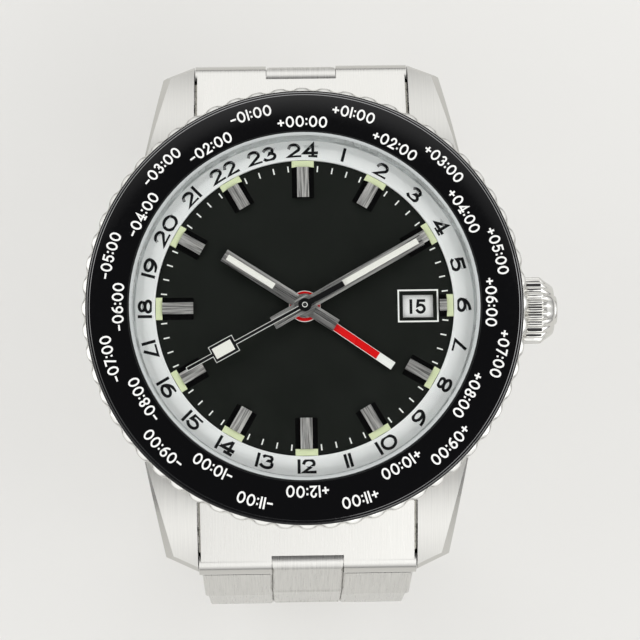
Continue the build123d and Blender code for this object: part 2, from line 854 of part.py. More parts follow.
def upright(plane):
    """The same plane turned so that its local y points up."""
    return plane if plane.y_dir.Z > 0 else Plane(plane.origin, x_dir=plane.x_dir * -1, z_dir=plane.z_dir)


with BuildPart() as hour_markers:
    for index in range(12):
        start = marker_inner if index % 3 else quarter_marker_inner
        if index == 3:
            start = short_marker_inner
        with BuildSketch(upright(marker_plane(index, start))):
            with BuildLine():
                Polyline(
                    (-marker_width / 2, 0),
                    (marker_width / 2, 0),
                    (marker_top_width / 2, marker_height),
                    (-marker_top_width / 2, marker_height),
                    close=True,
                )
            make_face()
        extrude(amount=marker_outer - start)
hour_markers.part.label = "hour_markers"
export_step(hour_markers.part, "parts/hour_markers.step")

with BuildPart() as marker_lume:
    for index in range(12):
        with BuildSketch(upright(marker_plane(index, marker_outer))):
            with Locations((0, lume_height / 2)):
                Rectangle(marker_width, lume_height)
        extrude(amount=lume_outer - marker_outer)
marker_lume.part.label = "marker_lume"
export_step(marker_lume.part, "parts/marker_lume.step")


# Hands, each on its own tube or arbor
def draw_baton(length, tail, width, hub, bore):
    """Straight hand with square ends, a round hub and its bore."""
    with Locations((0, (length - tail) / 2)):
        Rectangle(width, length + tail)
    Circle(hub)
    Circle(bore, mode=Mode.SUBTRACT)


with BuildPart() as gmt_hand:
    with BuildSketch(pointing(gmt_z, gmt_angle)):
        draw_baton(gmt_length, 0, gmt_width, gmt_hub, gmt_tube_radius)
    extrude(amount=gmt_thick)
gmt_hand.part.label = "gmt_hand"
export_step(gmt_hand.part, "parts/gmt_hand.step")

with BuildPart() as hour_hand:
    with BuildSketch(pointing(hour_z, hour_angle)):
        draw_baton(hour_length, hour_tail, hour_width, hour_hub, hour_tube_radius)
    extrude(amount=hour_thick)
hour_hand.part.label = "hour_hand"
export_step(hour_hand.part, "parts/hour_hand.step")

with BuildPart() as minute_hand:
    with BuildSketch(pointing(minute_z, minute_angle)):
        draw_baton(minute_length, minute_tail, minute_width, minute_hub, cannon_radius)
    extrude(amount=minute_thick)
minute_hand.part.label = "minute_hand"
export_step(minute_hand.part, "parts/minute_hand.step")

with BuildPart() as seconds_hand:
    with BuildSketch(pointing(seconds_z, seconds_angle)):
        with Locations((0, seconds_length / 2)):
            Rectangle(seconds_width, seconds_length)
        with Locations((0, -seconds_tail / 2)):
            Rectangle(seconds_tail_width, seconds_tail)
        with Locations((0, seconds_box_place)):
            Rectangle(seconds_box_width, seconds_box_length)
        Circle(seconds_hub)
        Circle(arbor_radius, mode=Mode.SUBTRACT)
    extrude(amount=seconds_thick)
seconds_hand.part.label = "seconds_hand"
export_step(seconds_hand.part, "parts/seconds_hand.step")

# Movement holder between the case wall and the movement
holder_inner = movement_radius + running_gap
with BuildPart() as movement_holder:
    with BuildSketch(Plane.XY.offset(bridge_z)):
        Circle(cavity_radius - running_gap)
        Circle(holder_inner, mode=Mode.SUBTRACT)
    extrude(amount=dial_z - bridge_z)
    with BuildSketch(Plane.XY.offset(dial_z)):
        Circle(cavity_radius - running_gap)
        Circle(dial_radius + running_gap, mode=Mode.SUBTRACT)
    extrude(amount=dial_thick)
    with BuildSketch(across(holder_inner - overrun, 0, crown_z)):
        Circle(stem_radius + free_gap)
    extrude(amount=cavity_radius - holder_inner + overrun, mode=Mode.SUBTRACT)
movement_holder.part.label = "movement_holder"
export_step(movement_holder.part, "parts/movement_holder.step")

# Main plate: disc, calendar seat, dial rim, centre tube and the wall that carries the bridge
date_z = dial_z - date_gap - date_thick
seat_z = date_z - running_gap
center_tube_top = minute_z
train_places = (third_place, great_place, escape_place)
with BuildPart() as main_plate:
    with BuildSketch(Plane.XY.offset(plate_z)):
        Circle(movement_radius)
    extrude(amount=plate_thick)
    with BuildSketch(Plane.XY.offset(calendar_z)):
        Circle(date_outer - date_seat_inset)
        Circle(date_inner + date_seat_inset, mode=Mode.SUBTRACT)
    extrude(amount=seat_z - calendar_z)
    with BuildSketch(Plane.XY.offset(calendar_z)):
        Circle(movement_radius)
        Circle(date_outer + date_rim_gap, mode=Mode.SUBTRACT)
    extrude(amount=calendar_height)
    with BuildSketch(Plane.XY.offset(train_z)):
        Circle(movement_radius)
        Circle(rim_inner, mode=Mode.SUBTRACT)
    extrude(amount=train_height)
    with BuildSketch(level(train_z)):
        with Locations(cock_foot_place):
            Circle(cock_foot_radius)
    extrude(amount=train_height)
    with BuildSketch(Plane.XY.offset(calendar_z)):
        Circle(center_tube_radius)
    extrude(amount=center_tube_top - calendar_z)
    with BuildSketch(Plane.XY.offset(plate_z)):
        Circle(center_tube_bore)
    extrude(amount=center_tube_top - plate_z, mode=Mode.SUBTRACT)
    with BuildSketch(Plane.XY.offset(plate_z)):
        with Locations(*train_places, pallet_place, balance_place):
            Circle(jewel_radius)
    extrude(amount=jewel_thick, mode=Mode.SUBTRACT)
    with BuildSketch(Plane.XY.offset(plate_z)):
        with Locations(barrel_place):
            Circle(shaft_radius + running_gap)
    extrude(amount=plate_thick / 2, mode=Mode.SUBTRACT)
    with BuildSketch(Plane.XY.offset(calendar_z)):
        with Locations(*dial_foot_places):
            Circle(dial_foot_radius)
    extrude(amount=calendar_height, mode=Mode.SUBTRACT)
    with BuildSketch(across(rim_inner - overrun, 0, train_z)):
        Rectangle(2 * (stem_radius + free_gap), 2 * (crown_z + stem_radius + free_gap - train_z))
    extrude(amount=movement_radius, mode=Mode.SUBTRACT)
main_plate.part.label = "main_plate"
export_step(main_plate.part, "parts/main_plate.step")

# Train bridge with room for the balance, the winding wheels and the stem, and the rotor's bearing post
rotor_z = back_thick + rotor_gap
rotor_top = rotor_z + rotor_rim_height
bearing_z = rotor_top - rotor_web_thick - running_gap
bridge_screw_places = [place_by((rim_inner + movement_radius) / 2, angle) for angle in (110, 165, 285, 335)]
with BuildPart() as train_bridge:
    with BuildSketch(Plane.XY.offset(bridge_z)):
        Circle(bridge_radius)
        with Locations(balance_place):
            Circle(balance_radius + balance_room, mode=Mode.SUBTRACT)
        with Locations(cock_foot_place):
            Circle(cock_foot_radius + free_gap, mode=Mode.SUBTRACT)
        with Locations(
            Location(cock_middle, (0, 0, cock_foot_angle))
        ):
            Rectangle(cock_foot_distance, cock_width + 2 * free_gap, mode=Mode.SUBTRACT)
        with Locations(*bridge_screw_places):
            Circle(screw_shank_radius, mode=Mode.SUBTRACT)
    extrude(amount=bridge_thick)
    with BuildSketch(Plane.XY.offset(bridge_z)):
        with Locations(barrel_place):
            Circle(ratchet_pitch + tip_share * winding_tooth_size + free_gap)
        with Locations(crown_wheel_place):
            Circle(crown_wheel_pitch + tip_share * winding_tooth_size + free_gap)
    extrude(amount=pocket_depth, mode=Mode.SUBTRACT)
    with BuildSketch(Plane.XY.offset(bridge_z)):
        with Locations(barrel_place):
            Circle(shaft_radius + running_gap)
        with Locations(crown_wheel_place):
            Circle(shaft_radius)
        with Locations(*train_places):
            Circle(jewel_radius)
    extrude(amount=bridge_thick, mode=Mode.SUBTRACT)
    with BuildSketch(Plane.XY.offset(train_z - jewel_thick)):
        Circle(jewel_radius)
    extrude(amount=jewel_thick, mode=Mode.SUBTRACT)
    slot_low_x = winding_pinion_x - pinion_half_length - free_gap
    slot_high_x = lever_x + lever_slot + crown_travel + free_gap
    slot_half_width = winding_pinion_pitch + tip_share * winding_tooth_size + free_gap
    with BuildSketch(level(crown_z - slot_half_width, (slot_low_x + slot_high_x) / 2)):
        Rectangle(slot_high_x - slot_low_x, 2 * slot_half_width)
    extrude(amount=bridge_thick, mode=Mode.SUBTRACT)
    with BuildSketch(level(crown_z - stem_channel, (stem_inner_x + bridge_radius) / 2)):
        Rectangle(bridge_radius - stem_inner_x + overrun, 2 * stem_channel)
    extrude(amount=bridge_thick, mode=Mode.SUBTRACT)
    with BuildSketch(Plane.XY.offset(bearing_z)):
        Circle(bearing_radius)
    extrude(amount=bridge_z - bearing_z)
    with BuildSketch(Plane.XY.offset(bearing_z - bearing_flange_thick)):
        Circle(bearing_radius + bearing_flange)
    extrude(amount=bearing_flange_thick)
train_bridge.part.label = "train_bridge"
export_step(train_bridge.part, "parts/train_bridge.step")

# Balance cock: arm over the balance, standing on its foot
with BuildPart() as balance_cock:
    with BuildSketch(Plane.XY.offset(bridge_z)):
        with Locations(balance_place):
            Circle(cock_width / 2)
        with Locations(cock_foot_place):
            Circle(cock_foot_radius)
        with Locations(
            Location(cock_middle, (0, 0, cock_foot_angle))
        ):
            Rectangle(cock_foot_distance, cock_width)
    extrude(amount=cock_thick)
    with BuildSketch(Plane.XY.offset(bridge_z + cock_thick)):
        with Locations(cock_foot_place):
            Circle(cock_foot_radius)
    extrude(amount=bridge_thick - cock_thick)
    with BuildSketch(Plane.XY.offset(bridge_z)):
        with Locations(balance_place):
            Circle(jewel_radius)
    extrude(amount=cock_thick, mode=Mode.SUBTRACT)
    with BuildSketch(Plane.XY.offset(bridge_z)):
        with Locations(cock_foot_place):
            Circle(screw_shank_radius)
    extrude(amount=bridge_thick, mode=Mode.SUBTRACT)
balance_cock.part.label = "balance_cock"
export_step(balance_cock.part, "parts/balance_cock.step")

# Jewels: each a disc with a hole for a pivot
pivot_hole = pivot_radius + running_gap
with BuildPart() as movement_jewels:
    with BuildSketch(Plane.XY.offset(plate_z)):
        with Locations(*train_places, pallet_place, balance_place):
            Circle(jewel_radius)
            Circle(pivot_hole, mode=Mode.SUBTRACT)
    extrude(amount=jewel_thick)
    with BuildSketch(Plane.XY.offset(train_z - jewel_thick)):
        with Locations((0, 0), *train_places):
            Circle(jewel_radius)
            Circle(pivot_hole, mode=Mode.SUBTRACT)
    extrude(amount=jewel_thick)
    with BuildSketch(Plane.XY.offset(bridge_z + cock_thick - jewel_thick)):
        with Locations(balance_place):
            Circle(jewel_radius)
            Circle(pivot_hole, mode=Mode.SUBTRACT)
    extrude(amount=jewel_thick)
movement_jewels.part.label = "movement_jewels"
export_step(movement_jewels.part, "parts/movement_jewels.step")

with BuildPart() as movement_screws:
    with BuildSketch(Plane.XY.offset(bridge_z)):
        with Locations(*bridge_screw_places, cock_foot_place):
            Circle(screw_shank_radius)
    extrude(amount=bridge_thick)
    with BuildSketch(Plane.XY.offset(bridge_z - screw_head_height)):
        with Locations(*bridge_screw_places, cock_foot_place):
            Circle(screw_head_radius)
            Rectangle(screw_head_radius * 3, screw_slot, mode=Mode.SUBTRACT)
    extrude(amount=screw_head_height / 2)
    with BuildSketch(Plane.XY.offset(bridge_z - screw_head_height / 2)):
        with Locations(*bridge_screw_places, cock_foot_place):
            Circle(screw_head_radius)
    extrude(amount=screw_head_height / 2)
movement_screws.part.label = "movement_screws"
export_step(movement_screws.part, "parts/movement_screws.step")

# Barrel: toothed drum, its arbor, and the coiled mainspring inside
barrel_root = barrel_pitch - root_share * barrel_tooth_size
with BuildPart() as barrel:
    with BuildSketch(level(barrel_level, *barrel_place)):
        Circle(barrel_root - barrel_drum_gap)
    extrude(amount=barrel_height)
    with BuildSketch(level(plate_z - free_gap - pinion_thick, *barrel_place)):
        tooth_outline(barrel_teeth, barrel_pitch, barrel_tooth_size)
    extrude(amount=pinion_thick)
    with BuildSketch(level(barrel_level + wheel_thick, *barrel_place)):
        Circle(barrel_root - barrel_drum_gap - barrel_wall)
    extrude(amount=barrel_height - 2 * wheel_thick, mode=Mode.SUBTRACT)
    with BuildSketch(level(barrel_level, *barrel_place)):
        Circle(shaft_radius + running_gap)
    extrude(amount=barrel_height, mode=Mode.SUBTRACT)
barrel.part.label = "barrel"
export_step(barrel.part, "parts/barrel.step")


def spiral_arcs(inner, pitch, turns):
    """Half circles about two centres by turns, as start, middle and end points of each."""
    arcs = []
    for half in range(2 * turns):
        side = 1 if half % 2 == 0 else -1
        center = -side * pitch / 4
        radius = inner + half * pitch / 2
        arcs.append(((center + side * radius, 0), (center, side * radius), (center - side * radius, 0)))
    return arcs


with BuildPart() as mainspring:
    with BuildSketch(level(barrel_level + wheel_thick, *barrel_place)):
        with BuildLine():
            spring_inner_arcs = spiral_arcs(mainspring_inner, mainspring_pitch, mainspring_turns)
            spring_outer_arcs = spiral_arcs(
                mainspring_inner + mainspring_strip, mainspring_pitch, mainspring_turns
            )
            for start, middle, end in spring_inner_arcs + spring_outer_arcs:
                ThreePointArc(start, middle, end)
            Line(spring_inner_arcs[0][0], spring_outer_arcs[0][0])
            Line(spring_inner_arcs[-1][2], spring_outer_arcs[-1][2])
        make_face()
    extrude(amount=barrel_height - 2 * wheel_thick - free_gap)
mainspring.part.label = "mainspring"
export_step(mainspring.part, "parts/mainspring.step")

# Winding wheels in the bridge's pocket: the ratchet carries the barrel's arbor
winding_level = bridge_z + free_gap / 2
with BuildPart() as ratchet_wheel:
    with BuildSketch(level(winding_level, *barrel_place)):
        tooth_outline(ratchet_teeth, ratchet_pitch, winding_tooth_size)
    extrude(amount=wheel_thick * 2)
    with BuildSketch(level(winding_level, *barrel_place)):
        Circle(shaft_radius)
    extrude(amount=plate_z + plate_thick / 2 - winding_level)
ratchet_wheel.part.label = "ratchet_wheel"
export_step(ratchet_wheel.part, "parts/ratchet_wheel.step")

with BuildPart() as crown_wheel:
    with BuildSketch(level(winding_level, *crown_wheel_place)):
        tooth_outline(crown_wheel_teeth, crown_wheel_pitch, winding_tooth_size)
    extrude(amount=wheel_thick * 2)
    with BuildSketch(level(winding_level, *crown_wheel_place)):
        Circle(shaft_radius - running_gap)
    extrude(amount=bridge_thick * 3 / 4)
crown_wheel.part.label = "crown_wheel"
export_step(crown_wheel.part, "parts/crown_wheel.step")


def arbor(place, low, high):
    """Shaft with a thinner pivot at each end, reaching into the jewels."""
    with Locations((*place, low)):
        Cylinder(shaft_radius, high - low, align=(Align.CENTER, Align.CENTER, Align.MIN))
    with Locations((*place, low - jewel_thick)):
        Cylinder(
            pivot_radius, high - low + 2 * jewel_thick, align=(Align.CENTER, Align.CENTER, Align.MIN)
        )


arbor_low = train_z + running_gap
arbor_high = plate_z - running_gap

with BuildPart() as intermediate_wheel:
    arbor(great_place, arbor_low, arbor_high)
    with BuildSketch(level(great_level, *great_place)):
        tooth_outline(great_teeth, great_pitch, great_tooth_size)
    extrude(amount=wheel_thick)
    with BuildSketch(level(plate_z - free_gap - pinion_thick, *great_place)):
        tooth_outline(great_pinion_teeth, great_pinion_pitch, barrel_tooth_size)
    extrude(amount=pinion_thick)
intermediate_wheel.part.label = "intermediate_wheel"
export_step(intermediate_wheel.part, "parts/intermediate_wheel.step")

with BuildPart() as third_wheel:
    arbor(third_place, arbor_low, arbor_high)
    with BuildSketch(level(third_level, *third_place)):
        tooth_outline(third_teeth, third_pitch, third_tooth_size)
    extrude(amount=wheel_thick)
    with BuildSketch(level(great_level, *third_place)):
        tooth_outline(third_pinion_teeth, third_pinion_pitch, great_tooth_size)
    extrude(amount=pinion_thick)
third_wheel.part.label = "third_wheel"
export_step(third_wheel.part, "parts/third_wheel.step")

with BuildPart() as fourth_wheel:
    with BuildSketch(Plane.XY.offset(train_z - jewel_thick)):
        Circle(arbor_radius)
    extrude(amount=seconds_z + seconds_thick - train_z + jewel_thick)
    with BuildSketch(Plane.XY.offset(seconds_level)):
        tooth_outline(seconds_teeth, seconds_pitch, tooth_size)
    extrude(amount=wheel_thick)
    with BuildSketch(Plane.XY.offset(third_level)):
        tooth_outline(seconds_pinion_teeth, seconds_pinion_pitch, third_tooth_size)
    extrude(amount=pinion_thick)
fourth_wheel.part.label = "fourth_wheel"
export_step(fourth_wheel.part, "parts/fourth_wheel.step")

escape_level = plate_z - 5 * level_gap
with BuildPart() as escape_wheel:
    arbor(escape_place, arbor_low, arbor_high)
    with BuildSketch(level(seconds_level, *escape_place)):
        tooth_outline(escape_pinion_teeth, escape_pinion_pitch, tooth_size)
    extrude(amount=pinion_thick)
    with BuildSketch(level(escape_level, *escape_place)):
        tooth_outline(escape_teeth, escape_radius - tip_share * escape_radius / 2, escape_radius / 2)
    extrude(amount=wheel_thick)
escape_wheel.part.label = "escape_wheel"
export_step(escape_wheel.part, "parts/escape_wheel.step")

# Pallet fork: a lever with two pallets towards the escape wheel and a notch at the balance
fork_way = degrees(atan2(balance_place[1] - pallet_place[1], balance_place[0] - pallet_place[0]))
fork_reach = balance_distance - roller_radius - free_gap
with BuildPart() as pallet_fork:
    with BuildSketch(level(escape_level, *pallet_place)):
        Circle(shaft_radius * 2)
        with Locations(Location((0, 0, 0), (0, 0, fork_way))):
            with Locations((fork_reach / 2, 0)):
                Rectangle(fork_reach, shaft_radius)
            with Locations((fork_reach - shaft_radius, 0)):
                Rectangle(shaft_radius * 2, shaft_radius * 3)
            with Locations((fork_reach, 0)):
                Rectangle(shaft_radius, shaft_radius, mode=Mode.SUBTRACT)
        with Locations(Location((0, 0, 0), (0, 0, pallet_angle + 90))):
            Rectangle(pallet_distance, shaft_radius * 1.5)
    extrude(amount=wheel_thick)
    arbor(pallet_place, arbor_high - bridge_thick / 2, arbor_high)
pallet_fork.part.label = "pallet_fork"
export_step(pallet_fork.part, "parts/pallet_fork.step")

# Balance wheel with its staff and roller, and the hairspring above it
balance_z = bridge_z + cock_thick + balance_drop
with BuildPart() as balance_wheel:
    with BuildSketch(level(balance_z, *balance_place)):
        Circle(balance_radius)
        Circle(balance_radius - balance_rim, mode=Mode.SUBTRACT)
        Rectangle(2 * (balance_radius - balance_rim / 2), balance_arm)
        Circle(balance_hub_radius)
    extrude(amount=balance_thick)
    with BuildSketch(level(bridge_z + cock_thick + running_gap, *balance_place)):
        Circle(shaft_radius)
    extrude(amount=arbor_high - bridge_z - cock_thick - running_gap)
    with BuildSketch(level(bridge_z + cock_thick - jewel_thick, *balance_place)):
        Circle(pivot_radius)
    extrude(amount=plate_z + jewel_thick - bridge_z - cock_thick + jewel_thick)
    with BuildSketch(level(escape_level, *balance_place)):
        Circle(roller_radius)
    extrude(amount=wheel_thick)
balance_wheel.part.label = "balance_wheel"
export_step(balance_wheel.part, "parts/balance_wheel.step")

with BuildPart() as hairspring:
    with BuildSketch(level(balance_z - hairspring_height - running_gap, *balance_place)):
        with BuildLine():
            hair_inner_arcs = spiral_arcs(hairspring_inner, hairspring_pitch, hairspring_turns)
            hair_outer_arcs = spiral_arcs(
                hairspring_inner + hairspring_strip, hairspring_pitch, hairspring_turns
            )
            for start, middle, end in hair_inner_arcs + hair_outer_arcs:
                ThreePointArc(start, middle, end)
            Line(hair_inner_arcs[0][0], hair_outer_arcs[0][0])
            Line(hair_inner_arcs[-1][2], hair_outer_arcs[-1][2])
        make_face()
    extrude(amount=hairspring_height)
hairspring.part.label = "hairspring"
export_step(hairspring.part, "parts/hairspring.step")

# Rotor: half disc with a heavy rim
with BuildPart() as rotor:
    with BuildSketch(Plane.XY.offset(rotor_top - rotor_web_thick)):
        Circle(rotor_radius)
        with Locations((0, rotor_radius)):
            Rectangle(2 * rotor_radius, 2 * rotor_radius, mode=Mode.SUBTRACT)
        Circle(rotor_hub_radius)
        Circle(bearing_radius + running_gap, mode=Mode.SUBTRACT)
    extrude(amount=rotor_web_thick)
    with BuildSketch(Plane.XY.offset(rotor_z)):
        Circle(rotor_radius)
        Circle(rotor_radius - rotor_rim_width, mode=Mode.SUBTRACT)
        with Locations((0, rotor_radius)):
            Rectangle(2 * rotor_radius, 2 * rotor_radius, mode=Mode.SUBTRACT)
    extrude(amount=rotor_rim_height)
rotor.part.label = "rotor"
export_step(rotor.part, "parts/rotor.step")

# Motion work under the dial
cannon_z = calendar_z + running_gap
hour_wheel_z = cannon_z + pinion_thick
gmt_wheel_z = hour_wheel_z + pinion_thick
motion_distance = date_inner / 3
minute_wheel_place = place_by(motion_distance, minute_wheel_angle)


def motion_pair(first_teeth, second_teeth):
    """Tooth size and both pitch radii of a pair that spans the minute wheel's distance."""
    size = 2 * motion_distance / (first_teeth + second_teeth)
    return size, pitch_radius(first_teeth, size), pitch_radius(second_teeth, size)


cannon_size, cannon_pitch, minute_wheel_pitch = motion_pair(cannon_teeth, minute_wheel_teeth)
hour_size, hour_pinion_pitch, hour_pitch = motion_pair(minute_pinion_teeth, hour_teeth)
day_size, day_pinion_pitch, day_pitch = motion_pair(day_pinion_teeth, day_teeth)

with BuildPart() as cannon_pinion:
    with BuildSketch(Plane.XY.offset(cannon_z)):
        tooth_outline(cannon_teeth, cannon_pitch, cannon_size)
    extrude(amount=wheel_thick)
    with BuildSketch(Plane.XY.offset(cannon_z)):
        Circle(cannon_radius)
    extrude(amount=minute_z + minute_thick - cannon_z)
    with BuildSketch(Plane.XY.offset(cannon_z)):
        Circle(cannon_bore)
    extrude(amount=minute_z + minute_thick - cannon_z, mode=Mode.SUBTRACT)
cannon_pinion.part.label = "cannon_pinion"
export_step(cannon_pinion.part, "parts/cannon_pinion.step")

with BuildPart() as minute_wheel:
    with BuildSketch(level(cannon_z, *minute_wheel_place)):
        tooth_outline(minute_wheel_teeth, minute_wheel_pitch, cannon_size)
    extrude(amount=wheel_thick)
    with BuildSketch(level(cannon_z + wheel_thick, *minute_wheel_place)):
        Circle(day_pinion_pitch - day_size / 2)
    extrude(amount=gmt_wheel_z - cannon_z)
    with BuildSketch(level(hour_wheel_z, *minute_wheel_place)):
        tooth_outline(minute_pinion_teeth, hour_pinion_pitch, hour_size)
    extrude(amount=wheel_thick)
    with BuildSketch(level(gmt_wheel_z, *minute_wheel_place)):
        tooth_outline(day_pinion_teeth, day_pinion_pitch, day_size)
    extrude(amount=wheel_thick)
minute_wheel.part.label = "minute_wheel"
export_step(minute_wheel.part, "parts/minute_wheel.step")

with BuildPart() as hour_wheel:
    with BuildSketch(Plane.XY.offset(hour_wheel_z)):
        tooth_outline(hour_teeth, hour_pitch, hour_size)
    extrude(amount=wheel_thick)
    with BuildSketch(Plane.XY.offset(hour_wheel_z)):
        Circle(hour_tube_radius)
    extrude(amount=hour_z + hour_thick - hour_wheel_z)
    with BuildSketch(Plane.XY.offset(hour_wheel_z)):
        Circle(hour_bore)
    extrude(amount=hour_z + hour_thick - hour_wheel_z, mode=Mode.SUBTRACT)
hour_wheel.part.label = "hour_wheel"
export_step(hour_wheel.part, "parts/hour_wheel.step")

with BuildPart() as gmt_wheel:
    with BuildSketch(Plane.XY.offset(gmt_wheel_z)):
        tooth_outline(day_teeth, day_pitch, day_size)
    extrude(amount=wheel_thick)
    with BuildSketch(Plane.XY.offset(gmt_wheel_z)):
        Circle(gmt_tube_radius)
    extrude(amount=gmt_z + gmt_thick - gmt_wheel_z)
    with BuildSketch(Plane.XY.offset(gmt_wheel_z)):
        Circle(gmt_bore)
    extrude(amount=gmt_z + gmt_thick - gmt_wheel_z, mode=Mode.SUBTRACT)
gmt_wheel.part.label = "gmt_wheel"
export_step(gmt_wheel.part, "parts/gmt_wheel.step")

with BuildPart() as date_ring:
    with BuildSketch(Plane.XY.offset(date_z)):
        Circle(date_outer)
        Circle(date_inner, mode=Mode.SUBTRACT)
    extrude(amount=date_thick)
date_ring.part.label = "date_ring"
export_step(date_ring.part, "parts/date_ring.step")

# End links between the lugs, each with the first hinge pin and its spring bar
end_corner = sqrt(link_end_radius ** 2 - link_half_thick ** 2)
gap_radius = link_end_radius + link_play
gap_corner = sqrt(gap_radius ** 2 - link_half_thick ** 2)
arm_inner = center_half_width + side_play
end_link_top_z = dial_top - lug_crown_drop
spring_bar_reach = lug_gap / 2 + spring_bar_tip - free_gap
end_solids = []
for side in (-1, 1):
    with BuildPart() as end_link:
        with BuildSketch(Plane.YZ):
            with BuildLine():
                Polyline(
                    (side * (end_pin_y + end_corner), end_pin_z + link_half_thick),
                    (side * end_link_top_y, end_link_top_z),
                    (0, end_link_top_z),
                    (0, end_link_bottom),
                    (side * (end_pin_y - gap_radius), end_link_bottom),
                    (side * (end_pin_y - link_end_radius), end_pin_z),
                    (side * end_pin_y, end_pin_z),
                    close=True,
                )
            make_face()
            with Locations((side * end_pin_y, end_pin_z)):
                Circle(link_end_radius)
        extrude(amount=end_link_half_width, both=True)
        with BuildSketch(Plane.XY):
            Circle(case_radius + end_link_gap)
        extrude(amount=dial_top, mode=Mode.SUBTRACT)
        with BuildSketch(Plane.YZ):
            with Locations((side * end_pin_y, end_pin_z)):
                Circle(gap_radius)
            with Locations((side * (end_pin_y + gap_radius), end_pin_z)):
                Rectangle(2 * gap_radius, 4 * gap_radius)
        extrude(amount=arm_inner, both=True, mode=Mode.SUBTRACT)
        chamfer(end_link.faces().sort_by(Axis.X)[0].edges().group_by(Axis.Z)[-1], link_bevel)
        chamfer(end_link.faces().sort_by(Axis.X)[-1].edges().group_by(Axis.Z)[-1], link_bevel)
        with BuildSketch(across(-end_link_half_width, side * spring_bar_y, spring_bar_z)):
            Circle(spring_bar_radius)
        extrude(amount=2 * end_link_half_width, mode=Mode.SUBTRACT)
        with BuildSketch(across(-end_link_half_width, side * end_pin_y, end_pin_z)):
            Circle(pin_radius)
        extrude(amount=2 * end_link_half_width, mode=Mode.SUBTRACT)
    with BuildPart() as end_pin:
        with BuildSketch(across(-end_link_half_width + link_bevel, side * end_pin_y, end_pin_z)):
            Circle(pin_radius)
        extrude(amount=2 * (end_link_half_width - link_bevel))
    with BuildPart() as spring_bar:
        with BuildSketch(across(-end_link_half_width, side * spring_bar_y, spring_bar_z)):
            Circle(spring_bar_radius)
        extrude(amount=2 * end_link_half_width)
        with BuildSketch(across(-spring_bar_reach, side * spring_bar_y, spring_bar_z)):
            Circle(spring_bar_tip_radius)
        extrude(amount=2 * spring_bar_reach)
    end_solids.extend([*end_link.part.solids(), *end_pin.part.solids(), *spring_bar.part.solids()])
end_links = Compound(label="end_links", children=end_solids)
export_step(end_links, "parts/end_links.step")


# Bracelet units: a centre piece and two outer pieces, each rounded about its hinge pin
def link_plane(side, y, z, tilt, x=0):
    """Plane of a unit's side view: local x along the unit, local y out of the wrist."""
    turn = radians(tilt)
    return Plane(
        origin=(x, side * y, z), x_dir=(0, side * cos(turn), -sin(turn)), z_dir=(side, 0, 0)
    )


def build_unit(side, y, z, tilt, half_width):
    """Centre piece, two outer pieces, the fixed pin and the next hinge pin of one unit."""
    middle = link_plane(side, y, z, tilt)
    with BuildPart() as center_piece:
        with BuildSketch(middle):
            with BuildLine():
                Line((-end_corner, link_half_thick), (link_pitch - gap_corner, link_half_thick))
                ThreePointArc(
                    (link_pitch - gap_corner, link_half_thick),
                    (link_pitch - gap_radius, 0),
                    (link_pitch - gap_corner, -link_half_thick),
                )
                Line((link_pitch - gap_corner, -link_half_thick), (-end_corner, -link_half_thick))
                ThreePointArc(
                    (-end_corner, -link_half_thick), (-link_end_radius, 0), (-end_corner, link_half_thick)
                )
            make_face()
        extrude(amount=center_half_width, both=True)
        chamfer(center_piece.faces().sort_by(Axis.X)[0].edges().filter_by(GeomType.LINE), link_bevel)
        chamfer(center_piece.faces().sort_by(Axis.X)[-1].edges().filter_by(GeomType.LINE), link_bevel)
        with BuildSketch(middle):
            Circle(pin_radius + running_gap)
            with Locations((link_pitch / 2, 0)):
                Circle(pin_radius)
        extrude(amount=center_half_width, both=True, mode=Mode.SUBTRACT)
    solids = list(center_piece.part.solids())
    for hand in (-1, 1):
        with BuildPart() as outer_piece:
            with BuildSketch(link_plane(side, y, z, tilt, hand * arm_inner)):
                with BuildLine():
                    Line((gap_corner, link_half_thick), (link_pitch + end_corner, link_half_thick))
                    ThreePointArc(
                        (link_pitch + end_corner, link_half_thick),
                        (link_pitch + link_end_radius, 0),
                        (link_pitch + end_corner, -link_half_thick),
                    )
                    Line((link_pitch + end_corner, -link_half_thick), (gap_corner, -link_half_thick))
                    ThreePointArc(
                        (gap_corner, -link_half_thick), (gap_radius, 0), (gap_corner, link_half_thick)
                    )
                make_face()
            extrude(amount=side * hand * (half_width - arm_inner))
            chamfer(outer_piece.faces().sort_by(Axis.X)[0].edges().filter_by(GeomType.LINE), link_bevel)
            chamfer(outer_piece.faces().sort_by(Axis.X)[-1].edges().filter_by(GeomType.LINE), link_bevel)
            with BuildSketch(middle):
                with Locations((link_pitch / 2, 0), (link_pitch, 0)):
                    Circle(pin_radius)
            extrude(amount=half_width - link_bevel, both=True, mode=Mode.SUBTRACT)
        solids.extend(outer_piece.part.solids())
    with BuildPart() as pins:
        with BuildSketch(middle):
            with Locations((link_pitch / 2, 0), (link_pitch, 0)):
                Circle(pin_radius)
        extrude(amount=half_width - link_bevel, both=True)
    solids.extend(pins.part.solids())
    return solids


pin_y = end_pin_y
pin_z = end_pin_z
unit_count = len(link_tilts)
for index, tilt in enumerate(link_tilts):
    taper_share = index / (unit_count - 1)
    half_width = first_link_half_width + (last_link_half_width - first_link_half_width) * taper_share
    for name, side in ((f"link_12_{index + 1}", 1), (f"link_6_{index + 1}", -1)):
        unit = Compound(label=name, children=build_unit(side, pin_y, pin_z, tilt, half_width))
        export_step(unit, f"parts/{name}.step")
    pin_y = pin_y + link_pitch * cos(radians(tilt))
    pin_z = pin_z - link_pitch * sin(radians(tilt))

